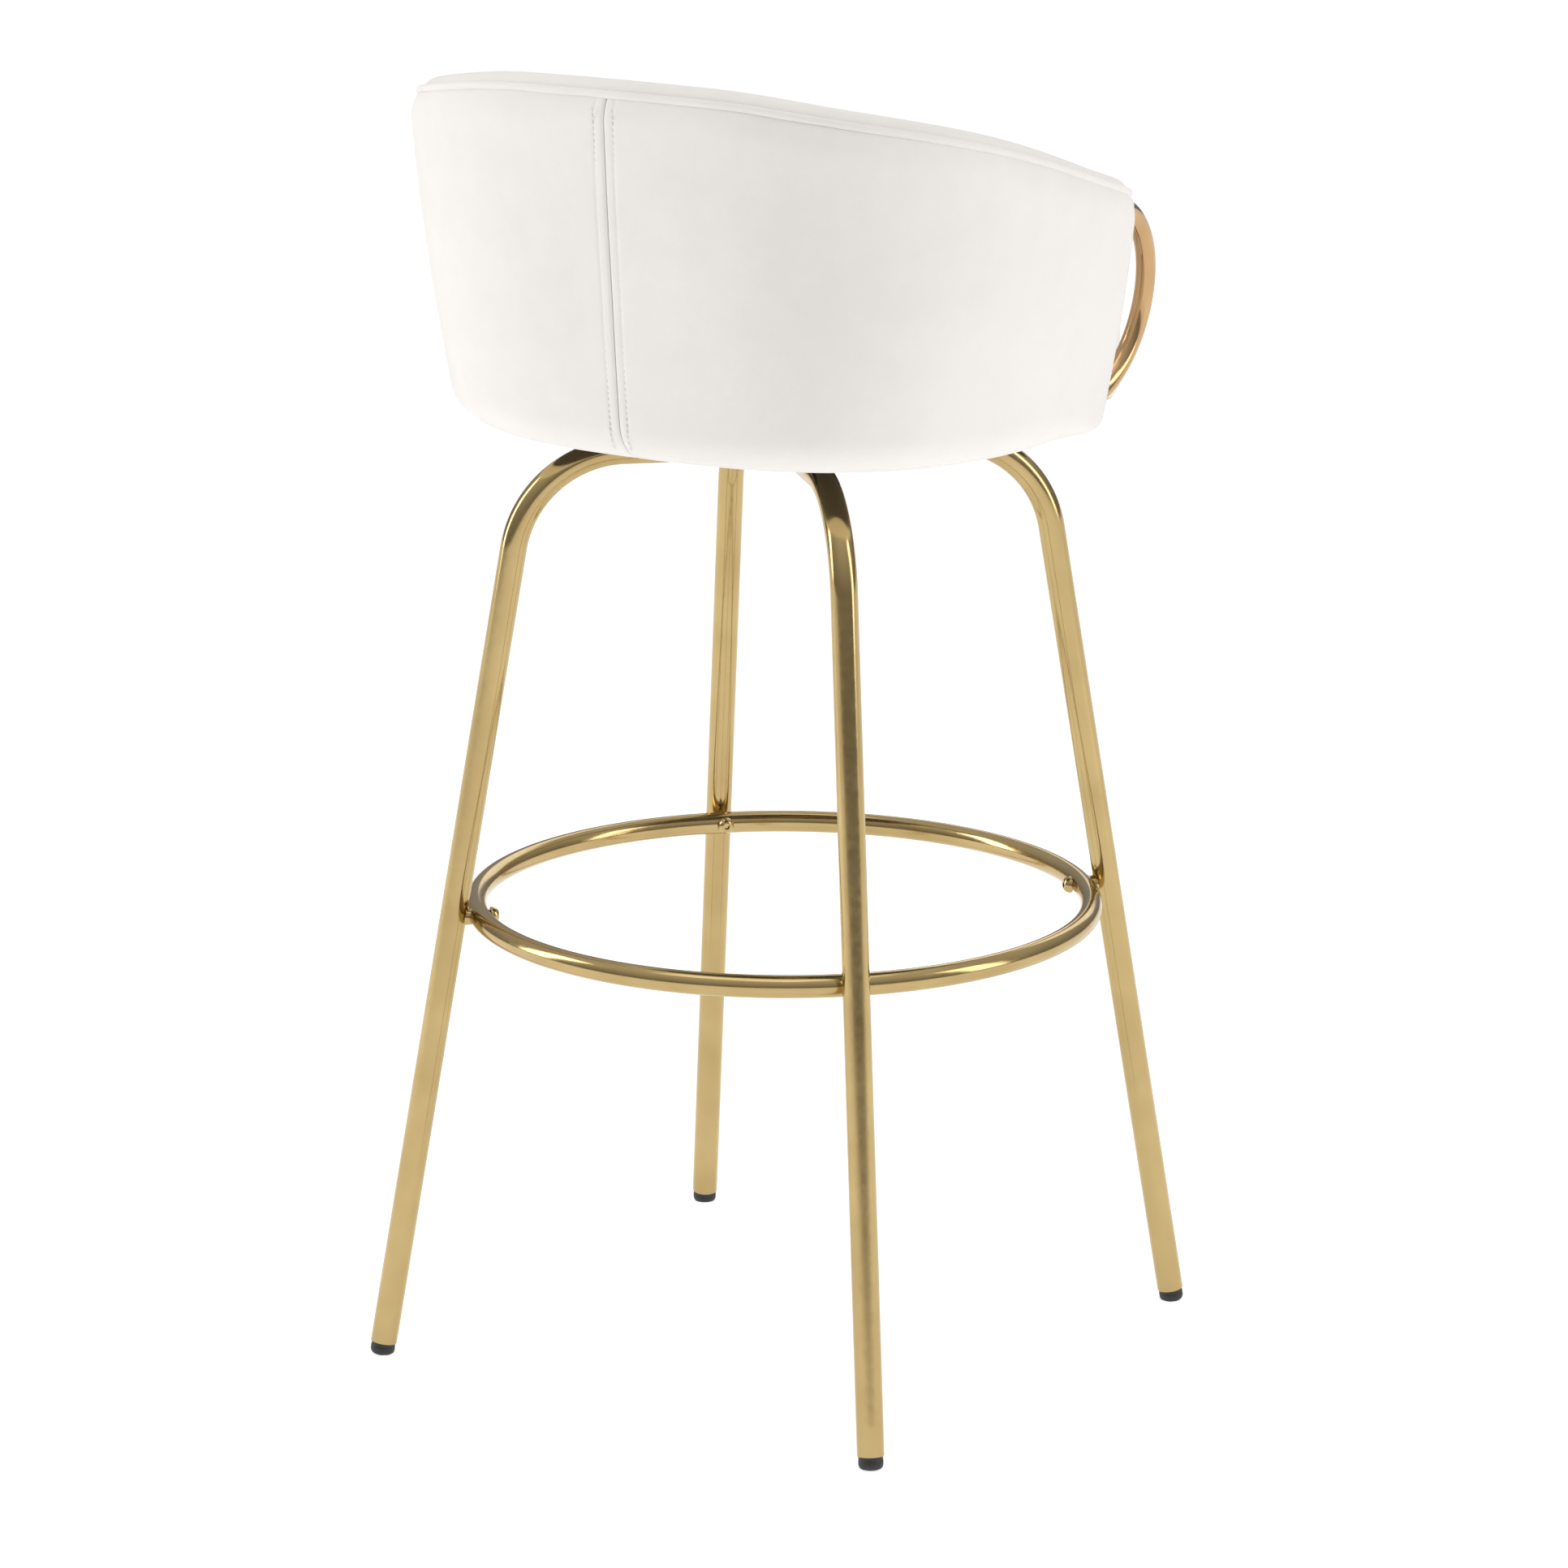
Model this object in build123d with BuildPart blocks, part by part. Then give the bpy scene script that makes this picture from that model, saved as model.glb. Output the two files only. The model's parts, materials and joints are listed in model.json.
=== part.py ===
"""Bar stool with a swivelling barrel seat, splayed tube legs and a ring footrest.

Millimetres, +Z up. The origin is on the floor, on the axis of the swivel.
The seat faces -Y, so the sitter's left is +X.
"""
import os
from math import acos, atan, cos, degrees, radians, sin, sqrt

from build123d import *

# ---------------------------------------------------------------- legs and feet
LEG_DIAMETER = 19.0
LEG_WALL = 1.2
FOOT_CIRCLE_RADIUS = 295.3          # leg axis at the floor
LEG_SLOPE = 0.1714                  # inward travel per millimetre of height
LEG_TOP_AXIS = 655.5                # height of the horizontal runs under the seat
LEG_BEND_RADIUS = 80.0
LEG_INNER_END = 10.0                # where the horizontal runs stop, near the centre
TUBE_END_HEIGHT = 8.5               # the cut end of the tube, on its axis
GLIDE_RADIUS = 8.7
GLIDE_PLUG_LENGTH = 14.0
GLIDE_EDGE_RADIUS = 2.4
GLIDE_TRIM = 1.0                    # worn below the floor plane, which leaves the flat it stands on

# ---------------------------------------------------------------- footrest
RING_TUBE_DIAMETER = 16.0
RING_WALL = 1.2
RING_RADIUS = 220.8
RING_HEIGHT = 323.0
DRILL_OVERRUN = 5.0                 # the drill starts and ends clear of the tube
DRILL_TAPER = 0.2                   # degrees, so a drilled hole is a hair tighter where the drill comes out
RING_SCREW_RADIUS = 3.0
RING_SCREW_HEAD_RADIUS = 6.0
RING_SCREW_HEAD_HEIGHT = 6.0
RING_SCREW_HEAD_TAPER = 22.0        # degrees, the head narrows towards its top
RING_SCREW_HEAD_GAP = 0.3           # the flat underside of the head clears the round tube
SOCKET_RADIUS = 2.3
SOCKET_DEPTH = 3.0
SPACER_RADIUS = 6.0
RIVET_NUT_RADIUS = 4.6
RIVET_NUT_LENGTH = 12.0
RIVET_NUT_RECESS = 1.5             # behind the tube's curved face

# ---------------------------------------------------------------- swivel
LEG_PLATE_RADIUS = 98.0
LEG_PLATE_THICKNESS = 4.0
SWIVEL_PLATE_THICKNESS = 2.5
SWIVEL_GAP = 6.0
LOWER_PLATE_SIDE = 140.0
UPPER_PLATE_SIDE = 120.0
PLATE_CORNER_RADIUS = 13.0
BALL_RADIUS = 3.5
BALL_COUNT = 16
RACE_RADIUS = 40.0
RACE_CLEARANCE = 0.05
CAGE_WIDTH = 13.0
CAGE_THICKNESS = 1.5
RIVET_RADIUS = 6.0
RIVET_HEAD_RADIUS = 11.0
RIVET_HEAD_HEIGHT = 2.0
BOLT_HEAD_HEIGHT = 4.0
LOWER_BOLT_CIRCLE = 83.0
UPPER_SCREW_SPACING = 92.0
M6_RADIUS = 3.0
M6_CLEARANCE_RADIUS = 3.3
NUT_RADIUS = 5.8
NUT_HEIGHT = 5.0
SCREW_HEAD_HEIGHT = 3.5
SCREW_HEAD_RADIUS = 5.2
T_NUT_FLANGE = 1.5
T_NUT_RADIUS = 9.5
T_NUT_BARREL = 4.0

# ---------------------------------------------------------------- seat base
BOARD_THICKNESS = 12.0
SEAT_FRONT = -227.0
CUSHION_HALF_WIDTH = 180.0
CUSHION_CORNER_RADIUS = 74.0
CUSHION_TOP = 758.0
CUSHION_BOTTOM = 683.0
BOARD_INSET = 12.0
BOARD_NECK = 164.0                  # half width of the board between the arm posts
DUST_COVER_THICKNESS = 0.8
DUST_COVER_DROP = 1.0               # its underside, below the board's
DUST_COVER_LAST_TURN = 110.0        # where its edge leaves the shell
DUST_COVER_OVERLAP = 50.0           # between its round back and its square front
SWIVEL_CLEARANCE = 4.0              # holes round the swivel are this much larger, each side
GAP = 0.3                           # between upholstery layers

# ---------------------------------------------------------------- barrel shell
SHELL_BOTTOM = 672.0
SHELL_BOTTOM_ROUND = 27.0
SHELL_CENTRE_Y = -13.0
SHELL_FRONT_REACH = 140.0
SHELL_EXPONENT = 2.6
ARM_END_Y = -72.0
COVER_THICKNESS = 4.0
FRAME_THICKNESS = 10.0
SHELL_THICKNESS = 42.0
ARM_CAP_THICKNESS = 4.0
POST_DEPTH = 24.0
POST_INNER_INSET = 38.0
RIM_DROP = 6.0                      # the rolled rim starts this far below the piping line
RIM_RISE = 4.5                      # and ends this far above it
PIPING_WIDTH = 5.0
PIPING_PROUD = 2.0
RIM_LINE = [                        # height at each angle round from the middle of the back
    (0, 930.5), (12, 930), (24, 928), (36, 921.5), (48, 913), (60, 902),
    (72, 887.5), (84, 871.5), (96, 856.5), (108, 843.5), (120, 832),
]
RIM_INNER_REACH = 120.0             # the shell lies between these distances from its centre
RIM_OUTER_REACH = 320.0
TUCK_LEVELS = [672.4, 673.5, 676]   # extra sections through the rounded bottom edge
SHELL_LEVELS = [680, 686, 692, 700, 760, 830, 900, 960]
PLAN_POINTS = 9                     # points on each half of a plan curve
FAR = 300.0                         # cutters reach past the stool on every side,
CUTTER_BOTTOM = 600.0               # from under the seat
CUTTER_TOP = 1000.0                 # to above the back

# ---------------------------------------------------------------- arm hoops
HOOP_TUBE_DIAMETER = 14.0
HOOP_WALL = 1.2
HOOP_RADIUS = 72.0
HOOP_CENTRE_X = 205.5
HOOP_CENTRE_Z = 763.0
HOOP_LEAN = 8.3
HOOP_INSERT_ANGLE = 11.0
HOOP_SCREW_REACH = 10.0

# ---------------------------------------------------------------- derived sizes
leg_radius = LEG_DIAMETER / 2
leg_tilt = degrees(atan(LEG_SLOPE))
leg_top = LEG_TOP_AXIS + leg_radius
ring_tube_radius = RING_TUBE_DIAMETER / 2
plate_top = leg_top + LEG_PLATE_THICKNESS
lower_swivel_top = plate_top + SWIVEL_PLATE_THICKNESS
upper_swivel_bottom = lower_swivel_top + SWIVEL_GAP
board_bottom = upper_swivel_bottom + SWIVEL_PLATE_THICKNESS
board_top = board_bottom + BOARD_THICKNESS
race_height = (lower_swivel_top + upper_swivel_bottom) / 2
hoop_radius = HOOP_TUBE_DIAMETER / 2
frame_inset = COVER_THICKNESS + GAP
pad_inset = frame_inset + FRAME_THICKNESS + GAP
post_front = ARM_END_Y + ARM_CAP_THICKNESS + GAP
post_back = post_front + POST_DEPTH

LEGS = {"front_left": -45, "front_right": -135, "rear_left": 45, "rear_right": 135}
SIDES = {"left": 1, "right": -1}

os.makedirs("parts", exist_ok=True)


def save(part, name):
    part.label = name
    export_step(part, f"parts/{name}.step")


def leg_radius_at(height):
    """Distance of a leg's axis from the swivel axis at a height."""
    return FOOT_CIRCLE_RADIUS - LEG_SLOPE * height


def radial_plane(azimuth):
    """Vertical plane through the swivel axis: x is outward, y is up."""
    outward = Vector(cos(radians(azimuth)), sin(radians(azimuth)), 0)
    return Plane(origin=(0, 0, 0), x_dir=outward, z_dir=outward.cross(Vector(0, 0, 1)))


def outward_plane(azimuth, distance, height):
    """Plane square to the outward direction, at a distance from the swivel axis."""
    outward = Vector(cos(radians(azimuth)), sin(radians(azimuth)), 0)
    return Plane(origin=outward * distance + Vector(0, 0, height), z_dir=outward)


def half_width(height):
    rise = height - 700
    return 228.5 + 0.195 * rise - 0.00025 * rise * rise


def half_depth(height):
    return 219.0 + 0.083 * (height - 700)


def bottom_tuck(height):
    """How far the rounded bottom edge pulls the shell in."""
    below = SHELL_BOTTOM_ROUND - (height - SHELL_BOTTOM)
    if below <= 0:
        return 0
    return SHELL_BOTTOM_ROUND - sqrt(SHELL_BOTTOM_ROUND**2 - below**2)


def plan_point(turn, height, inset):
    """Point on the plan curve; turn is 0 at the back and 90 at the widest place."""
    across = half_width(height) - bottom_tuck(height) - inset
    back = half_depth(height) - bottom_tuck(height) - inset
    power = 2 / SHELL_EXPONENT
    along = back if turn <= 90 else -SHELL_FRONT_REACH
    x = across * abs(sin(radians(turn))) ** power
    y = SHELL_CENTRE_Y + along * abs(cos(radians(turn))) ** power
    return x, y


def plan_points(height, inset, front, half):
    """Points of a plan curve that stops at a front plane; half keeps only +X."""
    last_turn = 180 - degrees(acos(((SHELL_CENTRE_Y - front) / SHELL_FRONT_REACH) ** (SHELL_EXPONENT / 2)))
    points = [plan_point(last_turn * i / PLAN_POINTS, height, inset) for i in range(PLAN_POINTS + 1)]
    return points if half else [(-x, y) for x, y in reversed(points)] + points[1:]


def shell_layer(outer, inner, front, levels=SHELL_LEVELS, half=False):
    """Layer of the shell between two insets, open at the arm ends."""
    with BuildPart() as layer:
        for level in levels:
            with BuildSketch(Plane.XY.offset(level)):
                with BuildLine():
                    outside = Spline(*plan_points(level, outer, front, half))
                    inside = Spline(*plan_points(level, inner, front, half))
                    Line(outside @ 1, inside @ 1)
                    Line(inside @ 0, outside @ 0)
                make_face()
        loft(ruled=True)
    return layer.part


def shell_core(inset, front, levels):
    """Solid block that fills the shell inside an inset."""
    with BuildPart() as core:
        for level in levels:
            with BuildSketch(Plane.XY.offset(level)):
                with BuildLine():
                    around = Spline(*plan_points(level, inset, front, False))
                    Line(around @ 1, around @ 0)
                make_face()
        loft(ruled=True)
    return core.part


def under_rim(offset):
    """Everything round the shell under the rim line, moved up or down by an offset."""
    around = [(-angle, height) for angle, height in reversed(RIM_LINE[1:])] + RIM_LINE
    with BuildPart() as volume:
        for angle, height in around:
            outward = Vector(sin(radians(angle)), cos(radians(angle)), 0)
            plane = Plane(origin=(0, SHELL_CENTRE_Y, 0), x_dir=outward, z_dir=outward.cross(Vector(0, 0, 1)))
            top = height + offset
            with BuildSketch(plane):
                with BuildLine():
                    Polyline(
                        (RIM_INNER_REACH, CUTTER_BOTTOM), (RIM_OUTER_REACH, CUTTER_BOTTOM),
                        (RIM_OUTER_REACH, top), (RIM_INNER_REACH, top), close=True,
                    )
                make_face()
        loft(ruled=True)
    return volume.part


def box_between(low, high):
    """Plain block between two corners, used as a cutter."""
    with BuildPart() as block:
        size = [h - l for l, h in zip(low, high)]
        with BuildSketch(Plane.XY.offset(low[2])):
            with Locations(((low[0] + high[0]) / 2, (low[1] + high[1]) / 2)):
                Rectangle(size[0], size[1])
        extrude(amount=size[2])
    return block.part


def rod(start, end, radius):
    """Straight round rod between two points."""
    start, end = Vector(*start), Vector(*end)
    with BuildPart() as cylinder:
        with BuildSketch(Plane(origin=start, z_dir=end - start)):
            Circle(radius)
        extrude(amount=(end - start).length)
    return cylinder.part


# ================================================================ base
foot_x = leg_radius_at(TUBE_END_HEIGHT)
corner_x = leg_radius_at(LEG_TOP_AXIS)

for leg_name, azimuth in LEGS.items():
    with BuildPart() as leg:
        with BuildLine(radial_plane(azimuth)) as leg_path:
            FilletPolyline(
                (LEG_INNER_END, LEG_TOP_AXIS), (corner_x, LEG_TOP_AXIS), (foot_x, TUBE_END_HEIGHT),
                radius=LEG_BEND_RADIUS,
            )
        with BuildSketch(leg_path.line ^ 0):
            Circle(leg_radius)
            Circle(leg_radius - LEG_WALL, mode=Mode.SUBTRACT)
        sweep()
        with BuildSketch(outward_plane(azimuth, RING_RADIUS, RING_HEIGHT)):
            Circle(RIVET_NUT_RADIUS)
        extrude(amount=leg_radius_at(RING_HEIGHT) - RING_RADIUS, mode=Mode.SUBTRACT)
    save(leg.part, f"leg_{leg_name}")

    down_the_leg = Plane(
        origin=radial_plane(azimuth).from_local_coords((foot_x, TUBE_END_HEIGHT, 0)),
        x_dir=radial_plane(azimuth).z_dir,
        z_dir=-(leg_path.line % 1),
    )
    glide_length = TUBE_END_HEIGHT / cos(radians(leg_tilt)) + GLIDE_TRIM
    with BuildPart() as glide:
        with BuildSketch(down_the_leg.offset(-glide_length)):
            Circle(GLIDE_RADIUS)
        extrude(amount=glide_length)
        fillet(glide.edges().group_by(Axis.Z)[0], GLIDE_EDGE_RADIUS)
        with BuildSketch(down_the_leg):
            Circle(leg_radius - LEG_WALL - 0.1)
        extrude(amount=GLIDE_PLUG_LENGTH)
        split(bisect_by=Plane.XY, keep=Keep.TOP)
    save(glide.part, f"glide_{leg_name}")

ring_inside = RING_RADIUS - ring_tube_radius
leg_inside = leg_radius_at(RING_HEIGHT) - leg_radius / cos(radians(leg_tilt))
screw_end = leg_inside + RIVET_NUT_LENGTH

with BuildPart() as footrest_ring:
    with BuildSketch(Plane.XZ):
        with Locations((RING_RADIUS, RING_HEIGHT)):
            Circle(ring_tube_radius)
            Circle(ring_tube_radius - RING_WALL, mode=Mode.SUBTRACT)
    revolve(axis=Axis.Z)
    for azimuth in LEGS.values():
        with BuildSketch(outward_plane(azimuth, ring_inside - DRILL_OVERRUN, RING_HEIGHT)):
            Circle(M6_CLEARANCE_RADIUS)
        extrude(amount=RING_TUBE_DIAMETER + 2 * DRILL_OVERRUN, taper=DRILL_TAPER, mode=Mode.SUBTRACT)
save(footrest_ring.part, "footrest_ring")

with BuildPart() as footrest_screws:
    for azimuth in LEGS.values():
        with BuildSketch(outward_plane(azimuth, ring_inside - 1, RING_HEIGHT)):
            Circle(RING_SCREW_RADIUS)
        extrude(amount=screw_end - ring_inside)
        inward_plane = outward_plane(azimuth + 180, RING_SCREW_HEAD_GAP - ring_inside, RING_HEIGHT)
        with BuildSketch(inward_plane):
            Circle(RING_SCREW_HEAD_RADIUS)
        extrude(amount=RING_SCREW_HEAD_HEIGHT, taper=RING_SCREW_HEAD_TAPER)
        with BuildSketch(inward_plane.offset(RING_SCREW_HEAD_HEIGHT)):
            RegularPolygon(SOCKET_RADIUS, 6)
        extrude(amount=-SOCKET_DEPTH, mode=Mode.SUBTRACT)
save(footrest_screws.part, "footrest_screws")

with BuildPart() as footrest_spacers:
    for azimuth in LEGS.values():
        with BuildSketch(outward_plane(azimuth, RING_RADIUS + 5, RING_HEIGHT)):
            Circle(SPACER_RADIUS)
            Circle(M6_CLEARANCE_RADIUS, mode=Mode.SUBTRACT)
        extrude(amount=leg_radius_at(RING_HEIGHT) - RING_RADIUS - 10)
    with BuildSketch(Plane.XZ):
        with Locations((RING_RADIUS, RING_HEIGHT)):
            Circle(ring_tube_radius)
    revolve(axis=Axis.Z, mode=Mode.SUBTRACT)
    for azimuth in LEGS.values():
        high, low = RING_HEIGHT + 20, RING_HEIGHT - 20
        plane = radial_plane(azimuth)
        top = plane.from_local_coords((leg_radius_at(high), high, 0))
        bottom = plane.from_local_coords((leg_radius_at(low), low, 0))
        add(rod(bottom, top, leg_radius), mode=Mode.SUBTRACT)
save(footrest_spacers.part, "footrest_spacers")

with BuildPart() as leg_rivet_nuts:
    for azimuth in LEGS.values():
        with BuildSketch(outward_plane(azimuth, leg_inside + RIVET_NUT_RECESS, RING_HEIGHT)):
            Circle(RIVET_NUT_RADIUS)
            Circle(RING_SCREW_RADIUS, mode=Mode.SUBTRACT)
        extrude(amount=RIVET_NUT_LENGTH)
save(leg_rivet_nuts.part, "leg_rivet_nuts")

with BuildPart() as leg_top_plate:
    with BuildSketch(Plane.XY.offset(leg_top)):
        Circle(LEG_PLATE_RADIUS)
        Circle(RIVET_HEAD_RADIUS + 1.5, mode=Mode.SUBTRACT)
        with PolarLocations(LOWER_BOLT_CIRCLE, 4):
            Circle(M6_CLEARANCE_RADIUS, mode=Mode.SUBTRACT)
    extrude(amount=LEG_PLATE_THICKNESS)
save(leg_top_plate.part, "leg_top_plate")


def race(clearance):
    """Ring-shaped groove that the balls run in."""
    with BuildPart() as groove:
        with BuildSketch(Plane.XZ):
            with Locations((RACE_RADIUS, race_height)):
                Circle(BALL_RADIUS + clearance)
        revolve(axis=Axis.Z)
    return groove.part


with BuildPart() as lower_swivel_plate:
    with BuildSketch(Plane.XY.offset(plate_top)):
        RectangleRounded(LOWER_PLATE_SIDE, LOWER_PLATE_SIDE, PLATE_CORNER_RADIUS, rotation=45)
        Circle(RIVET_RADIUS, mode=Mode.SUBTRACT)
        with PolarLocations(LOWER_BOLT_CIRCLE, 4):
            Circle(M6_CLEARANCE_RADIUS, mode=Mode.SUBTRACT)
    extrude(amount=SWIVEL_PLATE_THICKNESS)
    add(race(RACE_CLEARANCE), mode=Mode.SUBTRACT)
save(lower_swivel_plate.part, "lower_swivel_plate")

with BuildPart() as upper_swivel_plate:
    with BuildSketch(Plane.XY.offset(upper_swivel_bottom)):
        RectangleRounded(UPPER_PLATE_SIDE, UPPER_PLATE_SIDE, PLATE_CORNER_RADIUS)
        Circle(RIVET_RADIUS + RACE_CLEARANCE, mode=Mode.SUBTRACT)
        with GridLocations(UPPER_SCREW_SPACING, UPPER_SCREW_SPACING, 2, 2):
            Circle(M6_CLEARANCE_RADIUS, mode=Mode.SUBTRACT)
    extrude(amount=SWIVEL_PLATE_THICKNESS)
    add(race(RACE_CLEARANCE), mode=Mode.SUBTRACT)
save(upper_swivel_plate.part, "upper_swivel_plate")

with BuildPart() as swivel_rivet:
    with BuildSketch(Plane.XY.offset(plate_top - RIVET_HEAD_HEIGHT)):
        Circle(RIVET_HEAD_RADIUS)
    extrude(amount=RIVET_HEAD_HEIGHT)
    with BuildSketch(Plane.XY.offset(plate_top)):
        Circle(RIVET_RADIUS)
    extrude(amount=board_bottom + 0.1 - plate_top)
    with BuildSketch(Plane.XY.offset(board_bottom + 0.1)):
        Circle(RIVET_HEAD_RADIUS)
    extrude(amount=RIVET_HEAD_HEIGHT)
    chamfer(swivel_rivet.edges().filter_by(GeomType.CIRCLE).sort_by(Axis.Z)[-1], 0.6)
    Hole(RIVET_RADIUS / 2)
save(swivel_rivet.part, "swivel_rivet")

with BuildPart() as ball_cage:
    with BuildSketch(Plane.XY.offset(race_height - CAGE_THICKNESS / 2)):
        Circle(RACE_RADIUS + CAGE_WIDTH / 2)
        Circle(RACE_RADIUS - CAGE_WIDTH / 2, mode=Mode.SUBTRACT)
        with PolarLocations(RACE_RADIUS, BALL_COUNT):
            Circle(BALL_RADIUS + 0.1, mode=Mode.SUBTRACT)
    extrude(amount=CAGE_THICKNESS)
save(ball_cage.part, "ball_cage")

with BuildPart() as swivel_balls:
    with Locations((0, 0, race_height)):
        with PolarLocations(RACE_RADIUS, BALL_COUNT):
            Sphere(BALL_RADIUS)
save(swivel_balls.part, "swivel_balls")

with BuildPart() as swivel_bolts:
    with BuildSketch(Plane.XY.offset(leg_top - BOLT_HEAD_HEIGHT)):
        with PolarLocations(LOWER_BOLT_CIRCLE, 4):
            RegularPolygon(NUT_RADIUS, 6)
    extrude(amount=BOLT_HEAD_HEIGHT)
    with BuildSketch(Plane.XY.offset(leg_top)):
        with PolarLocations(LOWER_BOLT_CIRCLE, 4):
            Circle(M6_RADIUS)
    extrude(amount=lower_swivel_top + NUT_HEIGHT + 0.5 - leg_top)
save(swivel_bolts.part, "swivel_bolts")

with BuildPart() as swivel_nuts:
    with BuildSketch(Plane.XY.offset(lower_swivel_top)):
        with PolarLocations(LOWER_BOLT_CIRCLE, 4):
            RegularPolygon(NUT_RADIUS, 6)
            Circle(M6_RADIUS, mode=Mode.SUBTRACT)
    extrude(amount=NUT_HEIGHT)
save(swivel_nuts.part, "swivel_nuts")

# ================================================================ seat base

with BuildPart() as seat_screws:
    with BuildSketch(Plane.XY.offset(upper_swivel_bottom - SCREW_HEAD_HEIGHT)):
        with GridLocations(UPPER_SCREW_SPACING, UPPER_SCREW_SPACING, 2, 2):
            Circle(SCREW_HEAD_RADIUS)
    extrude(amount=SCREW_HEAD_HEIGHT)
    chamfer(seat_screws.edges().group_by(Axis.Z)[0], 1)
    with BuildSketch(Plane.XY.offset(upper_swivel_bottom)):
        with GridLocations(UPPER_SCREW_SPACING, UPPER_SCREW_SPACING, 2, 2):
            Circle(M6_RADIUS)
    extrude(amount=board_top - 1 - upper_swivel_bottom)
save(seat_screws.part, "seat_screws")

with BuildPart() as t_nuts:
    with BuildSketch(Plane.XY.offset(board_bottom + 2)):
        with GridLocations(UPPER_SCREW_SPACING, UPPER_SCREW_SPACING, 2, 2):
            Circle(T_NUT_BARREL)
            Circle(M6_RADIUS, mode=Mode.SUBTRACT)
    extrude(amount=BOARD_THICKNESS - 2 - T_NUT_FLANGE)
    with BuildSketch(Plane.XY.offset(board_top - T_NUT_FLANGE)):
        with GridLocations(UPPER_SCREW_SPACING, UPPER_SCREW_SPACING, 2, 2):
            Circle(T_NUT_RADIUS)
            Circle(M6_RADIUS, mode=Mode.SUBTRACT)
    extrude(amount=T_NUT_FLANGE)
save(t_nuts.part, "t_nuts")


def seat_front_block(inset, bottom, top):
    """Straight-sided front of the seat with its two round corners."""
    front, back = SEAT_FRONT + inset, ARM_END_Y - GAP
    half = CUSHION_HALF_WIDTH - inset
    with BuildPart() as block:
        with BuildSketch(Plane.XY.offset(bottom)) as outline:
            with Locations((0, (front + back) / 2)):
                Rectangle(2 * half, back - front)
            fillet(outline.vertices().group_by(Axis.Y)[0], CUSHION_CORNER_RADIUS - inset)
        extrude(amount=top - bottom)
    return block.part


hoop_up = {side: Vector(s * sin(radians(HOOP_LEAN)), 0, cos(radians(HOOP_LEAN))) for side, s in SIDES.items()}
hoop_centre = {side: Vector(s * HOOP_CENTRE_X, ARM_END_Y, HOOP_CENTRE_Z) for side, s in SIDES.items()}
hoop_ends = {
    side: [hoop_centre[side] + hoop_up[side] * HOOP_RADIUS, hoop_centre[side] - hoop_up[side] * HOOP_RADIUS]
    for side in SIDES
}
HOOP_HEAD_HEIGHT = 4.0

with BuildPart() as hoop_screws:
    for ends in hoop_ends.values():
        for end in ends:
            back_of_post = Vector(end.X, post_back, end.Z)
            add(rod(back_of_post - Vector(0, HOOP_HEAD_HEIGHT, 0), back_of_post, SCREW_HEAD_RADIUS))
            add(rod(end - Vector(0, HOOP_SCREW_REACH, 0), back_of_post, M6_RADIUS))
save(hoop_screws.part, "hoop_screws")


SHELL_SCREW_TURNS = [0, 32, 62, 88]
SHELL_SCREW_HEIGHT = board_bottom + BOARD_THICKNESS / 2
SHELL_SCREW_RADIUS = 2.0
SHELL_SCREW_LENGTH = 32.0
SHELL_SCREW_HEAD_RADIUS = 3.6
SHELL_SCREW_HEAD_HEIGHT = 2.0
SHELL_SCREW_SINK = 3.0

with BuildPart() as shell_screws:
    for turn in SHELL_SCREW_TURNS:
        x, y = plan_point(turn, SHELL_SCREW_HEIGHT, frame_inset + SHELL_SCREW_SINK)
        next_x, next_y = plan_point(turn + 1, SHELL_SCREW_HEIGHT, frame_inset + SHELL_SCREW_SINK)
        for side in (1, -1) if turn else (1,):
            head = Vector(side * x, y, SHELL_SCREW_HEIGHT)
            along = Vector(side * (next_x - x), next_y - y, 0)
            inward = along.cross(Vector(0, 0, side)).normalized()
            add(rod(head, head + inward * SHELL_SCREW_HEAD_HEIGHT, SHELL_SCREW_HEAD_RADIUS))
            add(rod(head, head + inward * SHELL_SCREW_LENGTH, SHELL_SCREW_RADIUS))
save(shell_screws.part, "shell_screws")

rim_underside = under_rim(-RIM_DROP - GAP)
behind_posts = box_between((-FAR, post_back, CUTTER_BOTTOM), (FAR, FAR, CUTTER_TOP))

for side, s in SIDES.items():
    with BuildPart() as arm_post:
        add(shell_layer(pad_inset, POST_INNER_INSET, post_front, half=True))
        add(behind_posts, mode=Mode.SUBTRACT)
        add(rim_underside, mode=Mode.INTERSECT)
        if s < 0:
            mirror(about=Plane.YZ, mode=Mode.REPLACE)
        add(hoop_screws.part, mode=Mode.SUBTRACT)
    save(arm_post.part, f"arm_post_{side}")

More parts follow.
